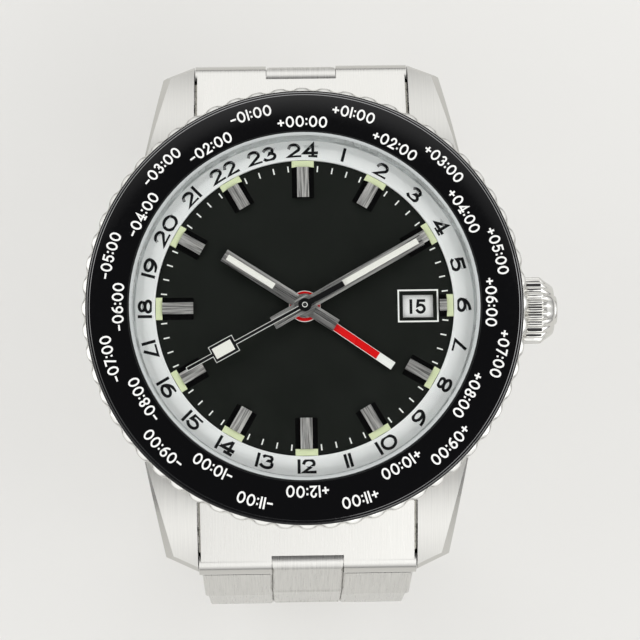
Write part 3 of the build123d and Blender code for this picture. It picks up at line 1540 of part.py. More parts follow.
# Clasp cover: plate with side walls and ears, hinged on the last pin of the 12 o'clock side
clasp_y = pin_y
clasp_z = pin_z
cover_z = clasp_z - cover_drop
cover_start_y = clasp_y - cover_end_gap
cover_end_y = -cover_start_y
blade_pin_y = cover_end_y + blade_pin_inset
blade_pin_z = cover_z + cover_thick + blade_gap + blade_knuckle_radius
outer_blade_z = blade_pin_z - blade_thick / 2
inner_blade_z = blade_pin_z + blade_knuckle_radius + blade_gap
far_pin_y = cover_start_y - blade_pin_inset - cover_knuckle_radius
far_pin_z = (outer_blade_z + inner_blade_z + blade_thick) / 2
cover_inner = cover_half_width - cover_wall
with BuildPart() as clasp_cover:
    with BuildSketch(level(cover_z, 0, (cover_start_y + cover_end_y) / 2)):
        Rectangle(2 * cover_half_width, cover_start_y - cover_end_y)
    extrude(amount=cover_thick + cover_wall_height)
    with BuildSketch(level(cover_z + cover_thick, 0, (cover_start_y + cover_end_y) / 2)):
        Rectangle(2 * cover_inner, cover_start_y - cover_end_y + overrun)
    extrude(amount=cover_wall_height, mode=Mode.SUBTRACT)
    with BuildSketch(level(cover_z, 0, cover_end_y)):
        Rectangle(2 * (inner_blade_half_width + blade_gap), 2 * window_notch)
    extrude(amount=cover_thick, mode=Mode.SUBTRACT)
    chamfer(clasp_cover.faces().sort_by(Axis.Z)[0].edges().filter_by(Axis.Y), link_bevel)
    with BuildSketch(across(-center_half_width, clasp_y, clasp_z)):
        Circle(cover_knuckle_radius)
        with BuildLine():
            Polyline(
                (-cover_knuckle_radius, 0),
                (0, -cover_knuckle_radius),
                (cover_start_y - clasp_y, cover_z - clasp_z),
                (cover_start_y - clasp_y - blade_pin_inset, cover_z - clasp_z),
                (cover_start_y - clasp_y - blade_pin_inset, cover_z + cover_thick - clasp_z),
                close=True,
            )
        make_face()
    extrude(amount=2 * center_half_width)
    with BuildSketch(across(-center_half_width, clasp_y, clasp_z)):
        Circle(pin_radius + running_gap)
    extrude(amount=2 * center_half_width, mode=Mode.SUBTRACT)
    for hand in (-1, 1):
        ear_x = hand * (outer_blade_half_width + side_play)
        with BuildSketch(across(ear_x, blade_pin_y, blade_pin_z)):
            Circle(blade_knuckle_radius)
            with Locations((0, -blade_knuckle_radius)):
                Rectangle(2 * blade_knuckle_radius, 2 * blade_knuckle_radius)
        extrude(amount=hand * cover_wall)
        with BuildSketch(across(hand * cover_inner, button_place, outer_blade_z + button_radius)):
            Circle(button_radius + running_gap)
        extrude(amount=hand * cover_wall, mode=Mode.SUBTRACT)
    with BuildSketch(level(cover_z - overrun)):
        Rectangle(4 * cover_half_width, 4 * cover_half_width)
    extrude(amount=overrun, mode=Mode.SUBTRACT)
    with BuildSketch(across(-cover_half_width, blade_pin_y, blade_pin_z)):
        Circle(blade_pin_radius)
    extrude(amount=2 * cover_half_width, mode=Mode.SUBTRACT)
ear_outer = outer_blade_half_width + side_play + cover_wall
with BuildPart() as cover_pin:
    with BuildSketch(across(-ear_outer, blade_pin_y, blade_pin_z)):
        Circle(blade_pin_radius)
    extrude(amount=2 * ear_outer)
cover_pieces = Compound(
    label="clasp_cover", children=[*clasp_cover.part.solids(), *cover_pin.part.solids()]
)
export_step(cover_pieces, "parts/clasp_cover.step")

# Outer blade: from the cover's free end back to the far pin
with BuildPart() as outer_blade:
    with BuildSketch(level(outer_blade_z, 0, (blade_pin_y + far_pin_y) / 2)):
        Rectangle(2 * outer_blade_half_width, far_pin_y - blade_pin_y)
    extrude(amount=blade_thick)
    with BuildSketch(across(-outer_blade_half_width, blade_pin_y, blade_pin_z)):
        Circle(blade_knuckle_radius)
    extrude(amount=2 * outer_blade_half_width)
    for hand in (-1, 1):
        with BuildSketch(across(hand * (inner_blade_half_width + side_play), far_pin_y, far_pin_z)):
            Circle(blade_knuckle_radius)
        extrude(amount=hand * (outer_blade_half_width - inner_blade_half_width - side_play))
    with BuildSketch(across(-inner_blade_half_width - side_play, far_pin_y, far_pin_z)):
        Circle(blade_knuckle_radius + free_gap)
    extrude(amount=2 * (inner_blade_half_width + side_play), mode=Mode.SUBTRACT)
    with BuildSketch(across(-outer_blade_half_width, blade_pin_y, blade_pin_z)):
        Circle(blade_pin_radius + running_gap)
    extrude(amount=2 * outer_blade_half_width, mode=Mode.SUBTRACT)
    with BuildSketch(across(-outer_blade_half_width, far_pin_y, far_pin_z)):
        Circle(blade_pin_radius)
    extrude(amount=2 * outer_blade_half_width, mode=Mode.SUBTRACT)
with BuildPart() as far_pin:
    with BuildSketch(across(-outer_blade_half_width, far_pin_y, far_pin_z)):
        Circle(blade_pin_radius)
    extrude(amount=2 * outer_blade_half_width)
outer_blade_pieces = Compound(
    label="clasp_blade_outer", children=[*outer_blade.part.solids(), *far_pin.part.solids()]
)
export_step(outer_blade_pieces, "parts/clasp_blade_outer.step")

# Inner blade: from the far pin to the last pin of the 6 o'clock side, where it ends in a shallow hollow
hollow_radius = pin_radius + open_pivot_gap
hollow_top_z = clasp_z + pin_radius / 6
inner_end_y = -clasp_y + hollow_radius - free_gap
with BuildPart() as inner_blade:
    with BuildSketch(level(inner_blade_z, 0, (inner_end_y + far_pin_y) / 2)):
        Rectangle(2 * inner_blade_half_width, far_pin_y - inner_end_y)
    extrude(amount=blade_thick)
    with BuildSketch(level(inner_blade_z, 0, inner_end_y + blade_pin_inset / 2)):
        Rectangle(2 * inner_blade_half_width, blade_pin_inset)
    extrude(amount=hollow_top_z - inner_blade_z)
    with BuildSketch(across(-inner_blade_half_width, far_pin_y, far_pin_z)):
        Circle(blade_knuckle_radius)
    extrude(amount=2 * inner_blade_half_width)
    with BuildSketch(across(-inner_blade_half_width, far_pin_y, far_pin_z)):
        Circle(blade_pin_radius + running_gap)
    extrude(amount=2 * inner_blade_half_width, mode=Mode.SUBTRACT)
    with BuildSketch(across(-inner_blade_half_width, -clasp_y, clasp_z)):
        Circle(hollow_radius)
    extrude(amount=2 * inner_blade_half_width, mode=Mode.SUBTRACT)
inner_blade.part.label = "clasp_blade_inner"
export_step(inner_blade.part, "parts/clasp_blade_inner.step")

# Push buttons in the cover's side walls
button_z = outer_blade_z + button_radius
for name, hand in (("clasp_button_left", -1), ("clasp_button_right", 1)):
    button_base = across(hand * (cover_inner - button_travel / 2), button_place, button_z)
    with BuildPart() as button:
        with BuildSketch(button_base):
            Circle(button_radius)
        extrude(amount=hand * (button_length + button_travel / 2))
        with BuildSketch(button_base):
            Circle(button_radius + free_gap)
        extrude(amount=hand * button_travel / 4)
    button.part.label = name
    export_step(button.part, f"parts/{name}.step")
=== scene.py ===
"""World time watch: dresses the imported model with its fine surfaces, printing, hands and finishes."""
from math import cos, pi, radians, sin

import bmesh
import bpy
import numpy as np
from bpy.props import FloatProperty, FloatVectorProperty, PointerProperty
from mathutils import Matrix, Vector


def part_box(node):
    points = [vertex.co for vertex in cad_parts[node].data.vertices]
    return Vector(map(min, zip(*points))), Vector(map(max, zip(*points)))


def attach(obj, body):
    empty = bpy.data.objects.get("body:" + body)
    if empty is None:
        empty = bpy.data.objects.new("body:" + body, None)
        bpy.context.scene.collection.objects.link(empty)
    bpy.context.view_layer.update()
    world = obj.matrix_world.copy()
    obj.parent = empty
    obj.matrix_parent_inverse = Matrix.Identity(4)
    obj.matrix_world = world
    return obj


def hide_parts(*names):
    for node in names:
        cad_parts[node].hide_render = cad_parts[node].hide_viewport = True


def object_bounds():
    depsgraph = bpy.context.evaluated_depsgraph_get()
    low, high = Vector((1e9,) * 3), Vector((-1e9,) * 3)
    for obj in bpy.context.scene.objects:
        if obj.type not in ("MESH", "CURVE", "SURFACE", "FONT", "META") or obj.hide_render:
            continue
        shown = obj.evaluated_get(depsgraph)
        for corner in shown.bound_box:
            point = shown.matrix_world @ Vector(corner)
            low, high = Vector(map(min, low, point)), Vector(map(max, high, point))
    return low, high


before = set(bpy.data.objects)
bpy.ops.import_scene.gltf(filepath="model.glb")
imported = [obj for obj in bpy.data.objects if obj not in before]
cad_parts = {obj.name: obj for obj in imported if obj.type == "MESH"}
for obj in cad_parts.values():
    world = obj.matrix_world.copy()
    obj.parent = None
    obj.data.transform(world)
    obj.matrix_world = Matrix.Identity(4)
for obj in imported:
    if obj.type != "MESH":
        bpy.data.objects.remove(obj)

bl_info = {
    "name": "World Time Watch",
    "version": (1, 0, 0),
    "blender": (4, 5, 0),
    "location": "View3D > Sidebar > Watch",
    "description": "Builds the fine pieces, printing and finishes of a watch on its packed model",
    "category": "Object",
}

MM = 0.001
CAD_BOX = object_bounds()
# The hour ring lies on the dial
DIAL_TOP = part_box("hour_ring")[0][2]

# Hours and degrees an hour of the 24 hour ring, and dates of the date ring
HOURS, HOUR_TURN = 24, 15
DATES, SHOWN_DATE = 31, 15
# Waves round the bezel and the winding knob, and points to a wave
SCALLOPS, FLUTES, WAVE_STEPS = 60, 26, 14
# A mitre is no longer than half of the line's width divided by this
MITRE_LIMIT = 0.4

# Bottom and top of printed ink, from the surface that it lies on
FIGURE_INK = (-0.02 * MM, 0.012 * MM)
DIAL_INK = (-0.01 * MM, 0.015 * MM)

# Insert: thickness, rise of its low dome, radius of its rounded edge and clearance to the bezel
INSERT_THICK = 0.5 * MM
INSERT_BULGE = 0.04 * MM
INSERT_BEND = 0.09 * MM
INSERT_PLAY = 0.03 * MM
# Its two narrow facets, which carry the painted reflection lines: their radii, half of a facet's width
# and the drop across each
FACETS = (0.0194, 0.01961)
FACET_HALF = 0.000025
FACET_DROP = 0.0039 * MM

# Date window: its middle, half of its width and height, and the line width of its frame
WINDOW_X = 10.3 * MM
WINDOW_HALF_WIDE, WINDOW_HALF_TALL = 1.78 * MM, 1.43 * MM
WINDOW_LINE = 0.14 * MM

# Luminous plots at the hours: width, height, inner and outer end, and cut edge
PLOT_WIDE, PLOT_TALL = 2.03 * MM, 0.2 * MM
PLOT_START, PLOT_END = 12.9 * MM, 13.5 * MM
PLOT_EDGE = 0.05 * MM

# Degrees clockwise from 12 at rest
HAND_TURN = {"hour": 303.2, "minute": 60.8, "gmt": 125.1, "seconds": 241.8}
# Millimetres from the middle: tail, tip, start and end of the strip; radii: hub and bore
STEEL_HANDS = {
    "hour": (3.35, 8.65, 3.3, 8.3, 1.12, 0.71),
    "minute": (3.3, 12.2, 4.0, 11.8, 0.98, 0.52),
}
# Pieces of each painted hand, the first of which stands for its solid: name, finish, slot, straight
# strips (width, bottom, top, start, end, cut edge) and round plates (radius, bottom, top, cut edge,
# bore, corners). Bottom and top are shares of the hand's height, and the rest is in millimetres.
PAINTED_HANDS = {
    "gmt": (
        ("day_hand_pale", "ink", "white_lacquer",
         [(0.77, 0, 0.8, 0, 9.65, 0.03)], [(1.43, 0, 0.8, 0.03, 0.95, 96)]),
        ("day_hand_red", "red", "red_lacquer",
         [(0.68, 0.5, 0.97, 0, 8.0, 0.02)], [(1.37, 0.5, 1, 0.02, 0.95, 96)]),
    ),
    "seconds": (
        ("seconds_hand_pale", "ink", "white_lacquer",
         [(0.37, 0, 0.7, 0, 12.1, 0), (1.6, 0, 0.72, 7.1, 9.5, 0)], []),
        ("seconds_hand_plot", "hand_glow", "luminous_paint",
         [(1.04, 0.3, 1, 7.42, 9.28, 0.02)], []),
        ("seconds_hand_black", "black", "black_lacquer",
         [(0.27, 0.3, 0.84, 0, 12.05, 0), (1.5, 0.3, 0.86, 7.15, 9.45, 0),
          (0.5, 0, 0.86, -4.0, 0, 0.02)],
         [(0.6, 0, 1, 0.03, 0.13, 96)]),
        ("seconds_hand_cap", "ink", "white_lacquer",
         [], [(0.28, 0.2, 1.02, 0.035, 0.19, 48)]),
    ),
}

# Materials: most of a noise texture lies between these values
NOISE_LOW, NOISE_HIGH = 0.3, 0.7
SCRATCH_DEPTH = 0.00001
# Brushed lines: their usual spacing, the radius at which radial lines have it, and how much slower
# straight and radial lines vary along their run, or round lines in each radian
BELT_LINES = 0.00009
RADIAL_AT = 0.011
STRAIGHT_RUN, RADIAL_RUN, ROUND_RUN = 0.02, 0.04, 0.5

# Lamps: name, degrees from straight up, degrees round from 3 o'clock, side in metres and watts
LAMPS = (
    ("soft_near", 38, 300, 0.3, 0.25), ("soft_far", 50, 95, 0.42, 0.05),
    ("soft_left", 52, 175, 0.45, 0.3), ("soft_right", 46, 350, 0.4, 0.4),
)
LAMP_DISTANCE = 0.55
FLOOR_RADIUS, FLOOR_CORNERS, FLOOR_DROP = 3, 96, 0.0001
# Camera: turns in degrees, place from the middle of the dial along its own axes in millimetres,
# focal length and side of the picture in pixels, and width of the sensor in millimetres
CAMERA_TURNS = ((0.74, "Z"), (1.01, "Y"), (-7.78, "X"))
CAMERA_PLACE = (1.387, -1.161, 199.0)
FOCAL_PIXELS, PICTURE_PIXELS, SENSOR = 2192.1, 640, 36


def linear(code):
    """sRGB hex code as linear red, green and blue."""
    values = [int(code[index:index + 2], 16) / 255 for index in (1, 3, 5)]
    return tuple(value / 12.92 if value <= 0.04045 else ((value + 0.055) / 1.055) ** 2.4
                 for value in values)


def length(name, description, millimetres):
    """A length setting, given in millimetres and kept in metres."""
    return FloatProperty(name=name, description=description, default=millimetres * MM, min=0.0,
                         precision=5, unit="LENGTH", subtype="DISTANCE")


def colour(name, description, code):
    """A colour setting, given as an sRGB hex code."""
    return FloatVectorProperty(name=name, description=description, default=linear(code), min=0.0,
                               max=1.0, size=3, subtype="COLOR")


class WatchSizes(bpy.types.PropertyGroup):
    """Sizes of the fine pieces and of the printing."""

    bezel_radius: length("Bezel radius", "Radius over the crests of the scalloped edge", 20.15)
    bezel_scallop: length("Scallop depth", "Depth of the valleys in the bezel's edge", 0.25)
    insert_inner: length("Insert bore", "Inner radius of the black insert", 15.86)
    insert_outer: length("Insert radius", "Outer radius of the black insert", 19.74)
    insert_rise: length("Insert rise", "Height of its inner edge above the dial", 1.84)
    insert_edge_rise: length("Insert edge rise", "Height of its outer edge above the dial", 1.44)
    label_height: length("Offset height", "Height of the figures printed on the insert", 1.06)
    label_stroke: length("Offset stroke", "Line width of the figures on the insert", 0.16)
    label_outer: length("Outer row", "Radius at the middle of the outer row of figures", 18.2)
    label_inner: length("Inner row", "Radius at the middle of the inner row of figures", 16.85)
    numeral_height: length("Hour height", "Height of the 24 hour numerals", 1.37)
    numeral_stroke: length("Hour stroke", "Line width of the 24 hour numerals", 0.27)
    numeral_radius: length("Hour radius", "Radius at the middle of the 24 hour numerals", 14.44)
    tick_width: length("Tick width", "Width of a minute tick", 0.12)
    tick_inner: length("Tick start", "Inner radius of the minute ticks", 12.55)
    tick_outer: length("Tick end", "Outer radius of the minute ticks", 13.1)
    date_height: length("Date height", "Height of the date figures", 1.33)
    date_stroke: length("Date stroke", "Line width of the date figures", 0.25)
    hand_width: length("Hand width", "Width of the hour and minute hands", 1.18)
    hand_glow: length("Glow strip", "Width of the luminous strip in those hands", 0.56)
    crown_radius: length("Knob radius", "Radius over the knob's flutes", 3.1)
    crown_flute: length("Flute depth", "Depth of the knob's flutes", 0.26)


class WatchColours(bpy.types.PropertyGroup):
    """Colours of the finishes, as they look in white light."""

    steel: colour("Steel", "Brushed and polished steel", "#D6D5D1")
    insert: colour("Insert", "Glossy black insert", "#050506")
    insert_ink: colour("Insert ink", "Figures printed on the insert", "#F2F2EF")
    ring: colour("Hour ring", "White lacquer of the hour ring", "#F4F6F4")
    numeral: colour("Numerals", "Ink of the 24 hour numerals", "#0B0C0E")
    dial: colour("Dial", "Near-black lacquer of the dial", "#0B100A")
    ink: colour("Dial ink", "White printing on the dial", "#F2F4EE")
    marker_glow: colour("Marker glow", "Luminous plots at the hours", "#DFE9BC")
    hand_glow: colour("Hand glow", "Luminous strips of the hands", "#F3F3EA")
    red: colour("Red", "Lacquer of the 24 hour hand", "#E0090C")
    black: colour("Black", "Lacquer of the seconds hand", "#0A0A0B")
    brass: colour("Brass", "Movement plates and wheels", "#C9AA6B")
    ruby: colour("Ruby", "Jewels of the movement", "#A8123A")
    gasket: colour("Gasket", "Crystal and case back seals", "#C9CDCC")
    floor: colour("Floor", "Studio floor", "#E3E2DF")


# Meshes

def grid_faces(rows, columns, close_rows, close_columns):
    """Quads of a grid of points in row order: each joins a point to the next column and row."""
    row = np.arange(rows if close_rows else rows - 1)[:, None]
    column = np.arange(columns if close_columns else columns - 1)[None, :]
    next_row, next_column = (row + 1) % rows, (column + 1) % columns
    corners = (row * columns + column, row * columns + next_column,
               next_row * columns + next_column, next_row * columns + column)
    return np.stack([np.broadcast_to(c, (row.size, column.size)) for c in corners], -1).reshape(-1, 4)


def join_meshes(parts):
    """One list of points and one of faces from several (points, faces) pairs."""
    points, faces, start = [], [], 0
    for part_points, part_faces in parts:
        part_points = np.asarray(part_points, float).reshape(-1, 3)
        points.append(part_points)
        faces.extend([[int(corner) + start for corner in face] for face in part_faces])
        start += len(part_points)
    return np.concatenate(points), faces


def make_piece(name, parts, material, body, slot, replaces=(), sharp=30.0):
    """A piece from (points, faces) pairs: doubles merged, faces turned outwards, and edges over
    the sharp angle in degrees kept sharp."""
    points, faces = join_meshes(parts)
    mesh = bpy.data.meshes.new(name)
    mesh.from_pydata(points.tolist(), [], faces)
    work = bmesh.new()
    work.from_mesh(mesh)
    bmesh.ops.remove_doubles(work, verts=work.verts, dist=1e-8)
    bmesh.ops.recalc_face_normals(work, faces=work.faces)
    work.to_mesh(mesh)
    work.free()
    mesh.polygons.foreach_set("use_smooth", np.ones(len(mesh.polygons), bool))
    mesh.set_sharp_from_angle(angle=radians(sharp))
    mesh.materials.append(material)
    piece = bpy.data.objects.new(name, mesh)
    bpy.context.scene.collection.objects.link(piece)
    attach(piece, body)
    if replaces:
        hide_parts(*replaces)
    return piece


def turned(profile, count=360, closed=True):
    """A profile of (radius, height) points turned about Z: x = r cos a, y = r sin a, z = h."""
    profile = np.asarray(profile, float)
    angle = np.arange(count) * 2 * pi / count
    points = np.stack([profile[:, :1] * np.cos(angle), profile[:, :1] * np.sin(angle),
                       np.broadcast_to(profile[:, 1:], (len(profile), count))], -1)
    return points, grid_faces(len(profile), count, closed, True)


def waves(count, power):
    """Angles round an edge of even waves, and the share of their depth there: a raised cosine
    of the count times the angle, to a power, from 0 on a crest to 1 in a valley."""
    steps = count * WAVE_STEPS
    angle = np.arange(steps) * 2 * pi / steps
    return angle, (0.5 - 0.5 * np.cos(count * angle)) ** power


def round_corners(profile, distances, steps=4):
    """The profile with corners turned into arcs that begin and end at a distance from them, given
    in millimetres by corner number. The last one comes first, so that the numbers hold."""
    profile = np.asarray(profile, float)
    share = np.linspace(0, 1, steps + 1)[:, None]
    for index, distance in sorted(distances.items(), reverse=True):
        size = distance * MM
        corner = profile[index]
        before = profile[index - 1] - corner
        after = profile[(index + 1) % len(profile)] - corner
        start = corner + before / np.linalg.norm(before) * size
        end = corner + after / np.linalg.norm(after) * size
        arc = (1 - share) ** 2 * start + 2 * share * (1 - share) * corner + share ** 2 * end
        profile = np.concatenate([profile[:index], arc, profile[index + 1:]])
    return profile


def facing(angle, height):
    """Turns local (across, along, up) into the watch's frame: along points clockwise from 12 by
    an angle in degrees, and up starts at a height."""
    turn = radians(angle)

    def place(p):
        return np.stack([p[..., 0] * cos(turn) + p[..., 1] * sin(turn),
                         p[..., 1] * cos(turn) - p[..., 0] * sin(turn), p[..., 2] + height], -1)

    return place


def bar(section, start, end, place):
    """A closed section of (across, up) points carried straight from start to end and capped."""
    section = np.asarray(section, float)
    count = len(section)
    rows = np.stack([np.column_stack([section[:, 0], np.full(count, along), section[:, 1]])
                     for along in (start, end)])
    caps = [list(range(count)), list(range(count, 2 * count))]
    return place(rows), grid_faces(2, count, False, True).tolist() + caps


def slab(width, low, high, start, end, place, edge=0.0):
    """A straight strip, with both top edges cut at 45 degrees where an edge is given."""
    half = width / 2
    section = [(-half, low), (half, low), (half, high - edge), (half - edge, high),
               (edge - half, high), (-half, high - edge)]
    if edge == 0:
        section = [(-half, low), (half, low), (half, high), (-half, high)]
    return bar(section, start, end, place)


def disc(radius, low, high, place, edge, bore, count=96):
    """A round plate with its top edge cut and a bore."""
    points, faces = turned([(bore, low), (radius, low), (radius, high - edge),
                            (radius - edge, high), (bore, high)], count)
    return place(points), faces


# Figures drawn as one line width, in a cell one unit wide and one unit high

def bow(x, y, wide, tall, first, last, steps=14):
    """Points on an ellipse from one angle to another."""
    turn = np.radians(np.linspace(first, last, steps))
    return np.column_stack([x + wide * np.cos(turn), y + tall * np.sin(turn)])


def line(*runs):
    """An open path through points and bows."""
    return np.concatenate([np.atleast_2d(run) for run in runs]), False


def loop(x, y, wide, tall, steps=29):
    """A closed path round an ellipse, without the last point, which is the first one again."""
    return bow(x, y, wide, tall, 90, 450, steps)[:-1], True


# Each figure's share of a whole cell's width, and its paths
FIGURES = {
    "0": (1.0, [loop(0.5, 0.5, 0.5, 0.5, 33)]),
    "1": (0.0, [line((0.5, 0), (0.5, 1))]),
    "2": (0.8, [line(bow(0.48, 0.7, 0.45, 0.3, 172, -32), (0.02, 0), (1, 0))]),
    "3": (0.78, [line(bow(0.45, 0.76, 0.4, 0.24, 150, -80, 12),
                      bow(0.45, 0.28, 0.52, 0.28, 80, -150, 16))]),
    "4": (0.88, [line((0.7, 0), (0.7, 1), (0, 0.3), (1, 0.3)), line((0.45, 0), (0.95, 0))]),
    "5": (0.8, [line((0.92, 1), (0.16, 1), (0.08, 0.56), bow(0.47, 0.32, 0.5, 0.32, 118, -150, 18))]),
    "6": (0.82, [loop(0.5, 0.3, 0.5, 0.3), line(bow(0.98, 0.3, 0.98, 0.7, 180, 98, 12))]),
    "7": (0.72, [line((0, 1), (1, 1), (0.35, 0))]),
    "8": (0.8, [loop(0.5, 0.76, 0.4, 0.24, 25), loop(0.5, 0.26, 0.5, 0.26)]),
    "9": (0.82, [loop(0.5, 0.7, 0.5, 0.3), line(bow(0.02, 0.7, 0.98, 0.7, 0, -82, 12))]),
    "+": (0.75, [line((0, 0.45), (1, 0.45)), line((0.5, 0.2), (0.5, 0.7))]),
    "-": (0.6, [line((0, 0.45), (1, 0.45))]),
    ":": (0.0, [line((0.5, 0.2), (0.5, 0.22)), line((0.5, 0.72), (0.5, 0.74))]),
}


def stroke(path, width, closed, ink, place):
    """A line of constant width along a flat path, from bottom to top of the ink: each point moves
    to both sides along its mitre, and an open path first grows by half the width at both ends."""
    if not closed:
        ends = np.array([path[0] - path[1], path[-1] - path[-2]])
        ends *= (width / 2 / np.linalg.norm(ends, axis=1))[:, None]
        path = np.concatenate([[path[0] + ends[0]], path[1:-1], [path[-1] + ends[1]]])
    step = np.roll(path, -1, 0) - path
    if not closed:
        step[-1] = step[-2]
    step /= np.linalg.norm(step, axis=1)[:, None]
    last = np.roll(step, 1, 0)
    if not closed:
        last[0] = step[0]
    side = np.column_stack([-step[:, 1] - last[:, 1], step[:, 0] + last[:, 0]])
    side /= np.linalg.norm(side, axis=1)[:, None]
    reach = np.clip(side[:, 0] * -step[:, 1] + side[:, 1] * step[:, 0], MITRE_LIMIT, 1)
    side *= (width / 2 / reach)[:, None]
    low, high = ink
    rows = [np.column_stack([path + sign * side, np.full(len(path), height)])
            for sign, height in ((1, high), (-1, high), (-1, low), (1, low))]
    count = len(path)
    faces = grid_faces(4, count, True, closed).tolist()
    if not closed:
        faces += [[first + row * count for row in range(4)] for first in (0, count - 1)]
    return place(np.stack(rows)), faces


def figures(text, height, width, ink, place, squeeze, gap):
    """Strokes of a row of figures, centred on the local origin. The squeeze is a cell's width by
    its height. place takes (across, up, lift) and the middle of each figure, so a row can bend."""
    widths = [FIGURES[letter][0] * squeeze * (height - width) for letter in text]
    total = sum(widths) + len(text) * width + (len(text) - 1) * gap
    parts, x = [], -total / 2
    for letter, wide in zip(text, widths):
        middle = x + (wide + width) / 2
        for path, closed in FIGURES[letter][1]:
            flat = (path - 0.5) * (wide, height - width)
            parts.append(stroke(flat, width, closed, ink, lambda p, at=middle: place(p, at)))
        x += wide + width + gap
    return parts


def on_ring(angle, radius, surface, outward=True, bend=True):
    """Places figures round a ring: across runs clockwise, up runs outwards, or both the other way,
    and the lift is from the surface."""
    sign = 1 if outward else -1

    def place(p, middle):
        turn = radians(angle) + (sign * middle / radius if bend else 0)
        across = sign * (p[..., 0] + (0 if bend else middle))
        out = radius + sign * p[..., 1]
        x = out * sin(turn) + across * cos(turn)
        y = out * cos(turn) - across * sin(turn)
        return np.stack([x, y, surface(np.hypot(x, y)) + p[..., 2]], -1)

    return place


# Materials

def node(tree, kind, settings=None):
    """A new shader node. Its settings are properties and sockets, and an output is linked."""
    made = tree.nodes.new("ShaderNode" + kind)
    for key, value in (settings or {}).items():
        if isinstance(value, bpy.types.NodeSocket):
            tree.links.new(value, made.inputs[key])
        elif isinstance(key, str) and hasattr(made, key):
            setattr(made, key, value)
        else:
            made.inputs[key].default_value = value
    return made


def start_material(name):
    """An empty node material, with its object coordinates."""
    material = bpy.data.materials.new(name)
    material.use_nodes = True
    tree = material.node_tree
    tree.nodes.clear()
    return material, tree, node(tree, "TexCoord").outputs["Object"]


def finish_material(material, tree, settings, kind="BsdfPrincipled"):
    """Make the last shader with its settings and link it to the output."""
    shader = node(tree, kind, settings)
    node(tree, "OutputMaterial", {"Surface": shader.outputs[0]})
    return material


def rgba(value):
    """A colour with full opacity."""
    return (*value[:3], 1.0)


def shade(values, share):
    """A colour made darker by a share."""
    return tuple(value * share for value in values[:3])


def maths(tree, operation, first, second=0.0):
    """The result of an operation on one or two values."""
    return node(tree, "Math", {"operation": operation, 0: first, 1: second}).outputs[0]


def vectors(tree, operation, first, second=(0, 0, 0), output=0):
    """The result of an operation on one or two vectors."""
    return node(tree, "VectorMath",
                {"operation": operation, 0: first, 1: second}).outputs[output]


def ramp(tree, value, to_low=0.0, to_high=1.0, low=NOISE_LOW, high=NOISE_HIGH):
    """A value clamped and moved from the range between low and high to another."""
    return node(tree, "MapRange",
                {0: value, 1: low, 2: high, 3: to_low, 4: to_high}).outputs[0]


def tint(tree, value, first, second):
    """A colour between two by a value."""
    return node(tree, "Mix",
                {"data_type": "RGBA", 0: value, 6: rgba(first), 7: rgba(second)}).outputs[2]


def darkened(tree, value, paint, share, low=NOISE_LOW, high=NOISE_HIGH):
    """A colour that falls to a share of itself where a value is low."""
    return tint(tree, ramp(tree, value, low=low, high=high), shade(paint, share), paint)


def between(tree, share, first, second):
    """A number between two by a share."""
    return node(tree, "Mix", {0: share, 2: first, 3: second}).outputs[0]


def noise(tree, place, scale, detail, **more):
    """A noise texture's value, in grains about 1 / scale metres wide."""
    return node(tree, "TexNoise",
                {"Vector": place, "Scale": scale, "Detail": detail, **more}).outputs["Fac"]


def relief(tree, height, strength, depth=SCRATCH_DEPTH):
    """A normal with the height of a texture."""
    return node(tree, "Bump",
                {"Height": height, "Strength": strength, "Distance": depth}).outputs[0]


def upward(tree):
    """How far the surface faces up, as the height of its normal."""
    normal = node(tree, "NewGeometry").outputs["Normal"]
    return node(tree, "SeparateXYZ", {"Vector": normal}).outputs[2]


def from_axis(tree, place):
    """The distance of a place from the Z axis."""
    return vectors(tree, "LENGTH", vectors(tree, "MULTIPLY", place, (1, 1, 0)), output="Value")


def in_world(tree, direction):
    """A direction of the object turned into the world's, as a tangent has to be."""
    return node(tree, "VectorTransform", {
        "vector_type": "VECTOR", "convert_from": "OBJECT", "convert_to": "WORLD",
        0: direction}).outputs[0]


def across_lines(tree, place):
    """The direction round Z, square to lines brushed along the radius: these smear a glint so."""
    across = vectors(tree, "CROSS_PRODUCT", (0, 0, 1), place)
    return in_world(tree, vectors(tree, "NORMALIZE", across))


def lines_along(tree, place, direction, spacing):
    """Fine lines as a value from 0 to 1. A number: straight lines that way round from 12 o'clock,
    in degrees; radial: by the angle about Z; round: by the distance from Z."""
    if isinstance(direction, str):
        axes = node(tree, "SeparateXYZ", {"Vector": place})
        angle = maths(tree, "ARCTAN2", axes.outputs[1], axes.outputs[0])
        if direction == "radial":
            first = maths(tree, "MULTIPLY", angle, RADIAL_AT / spacing)
            second = maths(tree, "MULTIPLY", from_axis(tree, place), RADIAL_RUN / spacing)
        else:
            first = maths(tree, "MULTIPLY", from_axis(tree, place), 1 / spacing)
            second = maths(tree, "MULTIPLY", angle, ROUND_RUN)
        flat = node(tree, "CombineXYZ", {0: first, 1: second})
    else:
        straight = node(tree, "VectorRotate", {
            "rotation_type": "Z_AXIS", "Angle": radians(direction), "Vector": place})
        flat = node(tree, "Mapping", {
            "Scale": (1 / spacing, STRAIGHT_RUN / spacing, STRAIGHT_RUN / spacing),
            "Vector": straight.outputs[0]})
    return noise(tree, flat.outputs[0], 1.0, 3.0, Roughness=0.6)


def brushed_metal(name, metal, direction=0, spacing=BELT_LINES, rough=(0.24, 0.4), dark=0.8,
                  smear=0.0):
    """Brushed metal: fine lines, coarser than the real ones so that they show, which vary the gloss
    and the tone and scratch the surface. The smear spreads a glint round Z."""
    material, tree, place = start_material(name)
    lines = lines_along(tree, place, direction, spacing)
    settings = {
        "Metallic": 1.0,
        "Base Color": darkened(tree, lines, metal, dark, 0.35, 0.65),
        "Roughness": ramp(tree, lines, *rough),
        "Normal": relief(tree, lines, 0.35),
    }
    if smear:
        settings.update({"Anisotropic": smear, "Tangent": across_lines(tree, place)})
    return finish_material(material, tree, settings)


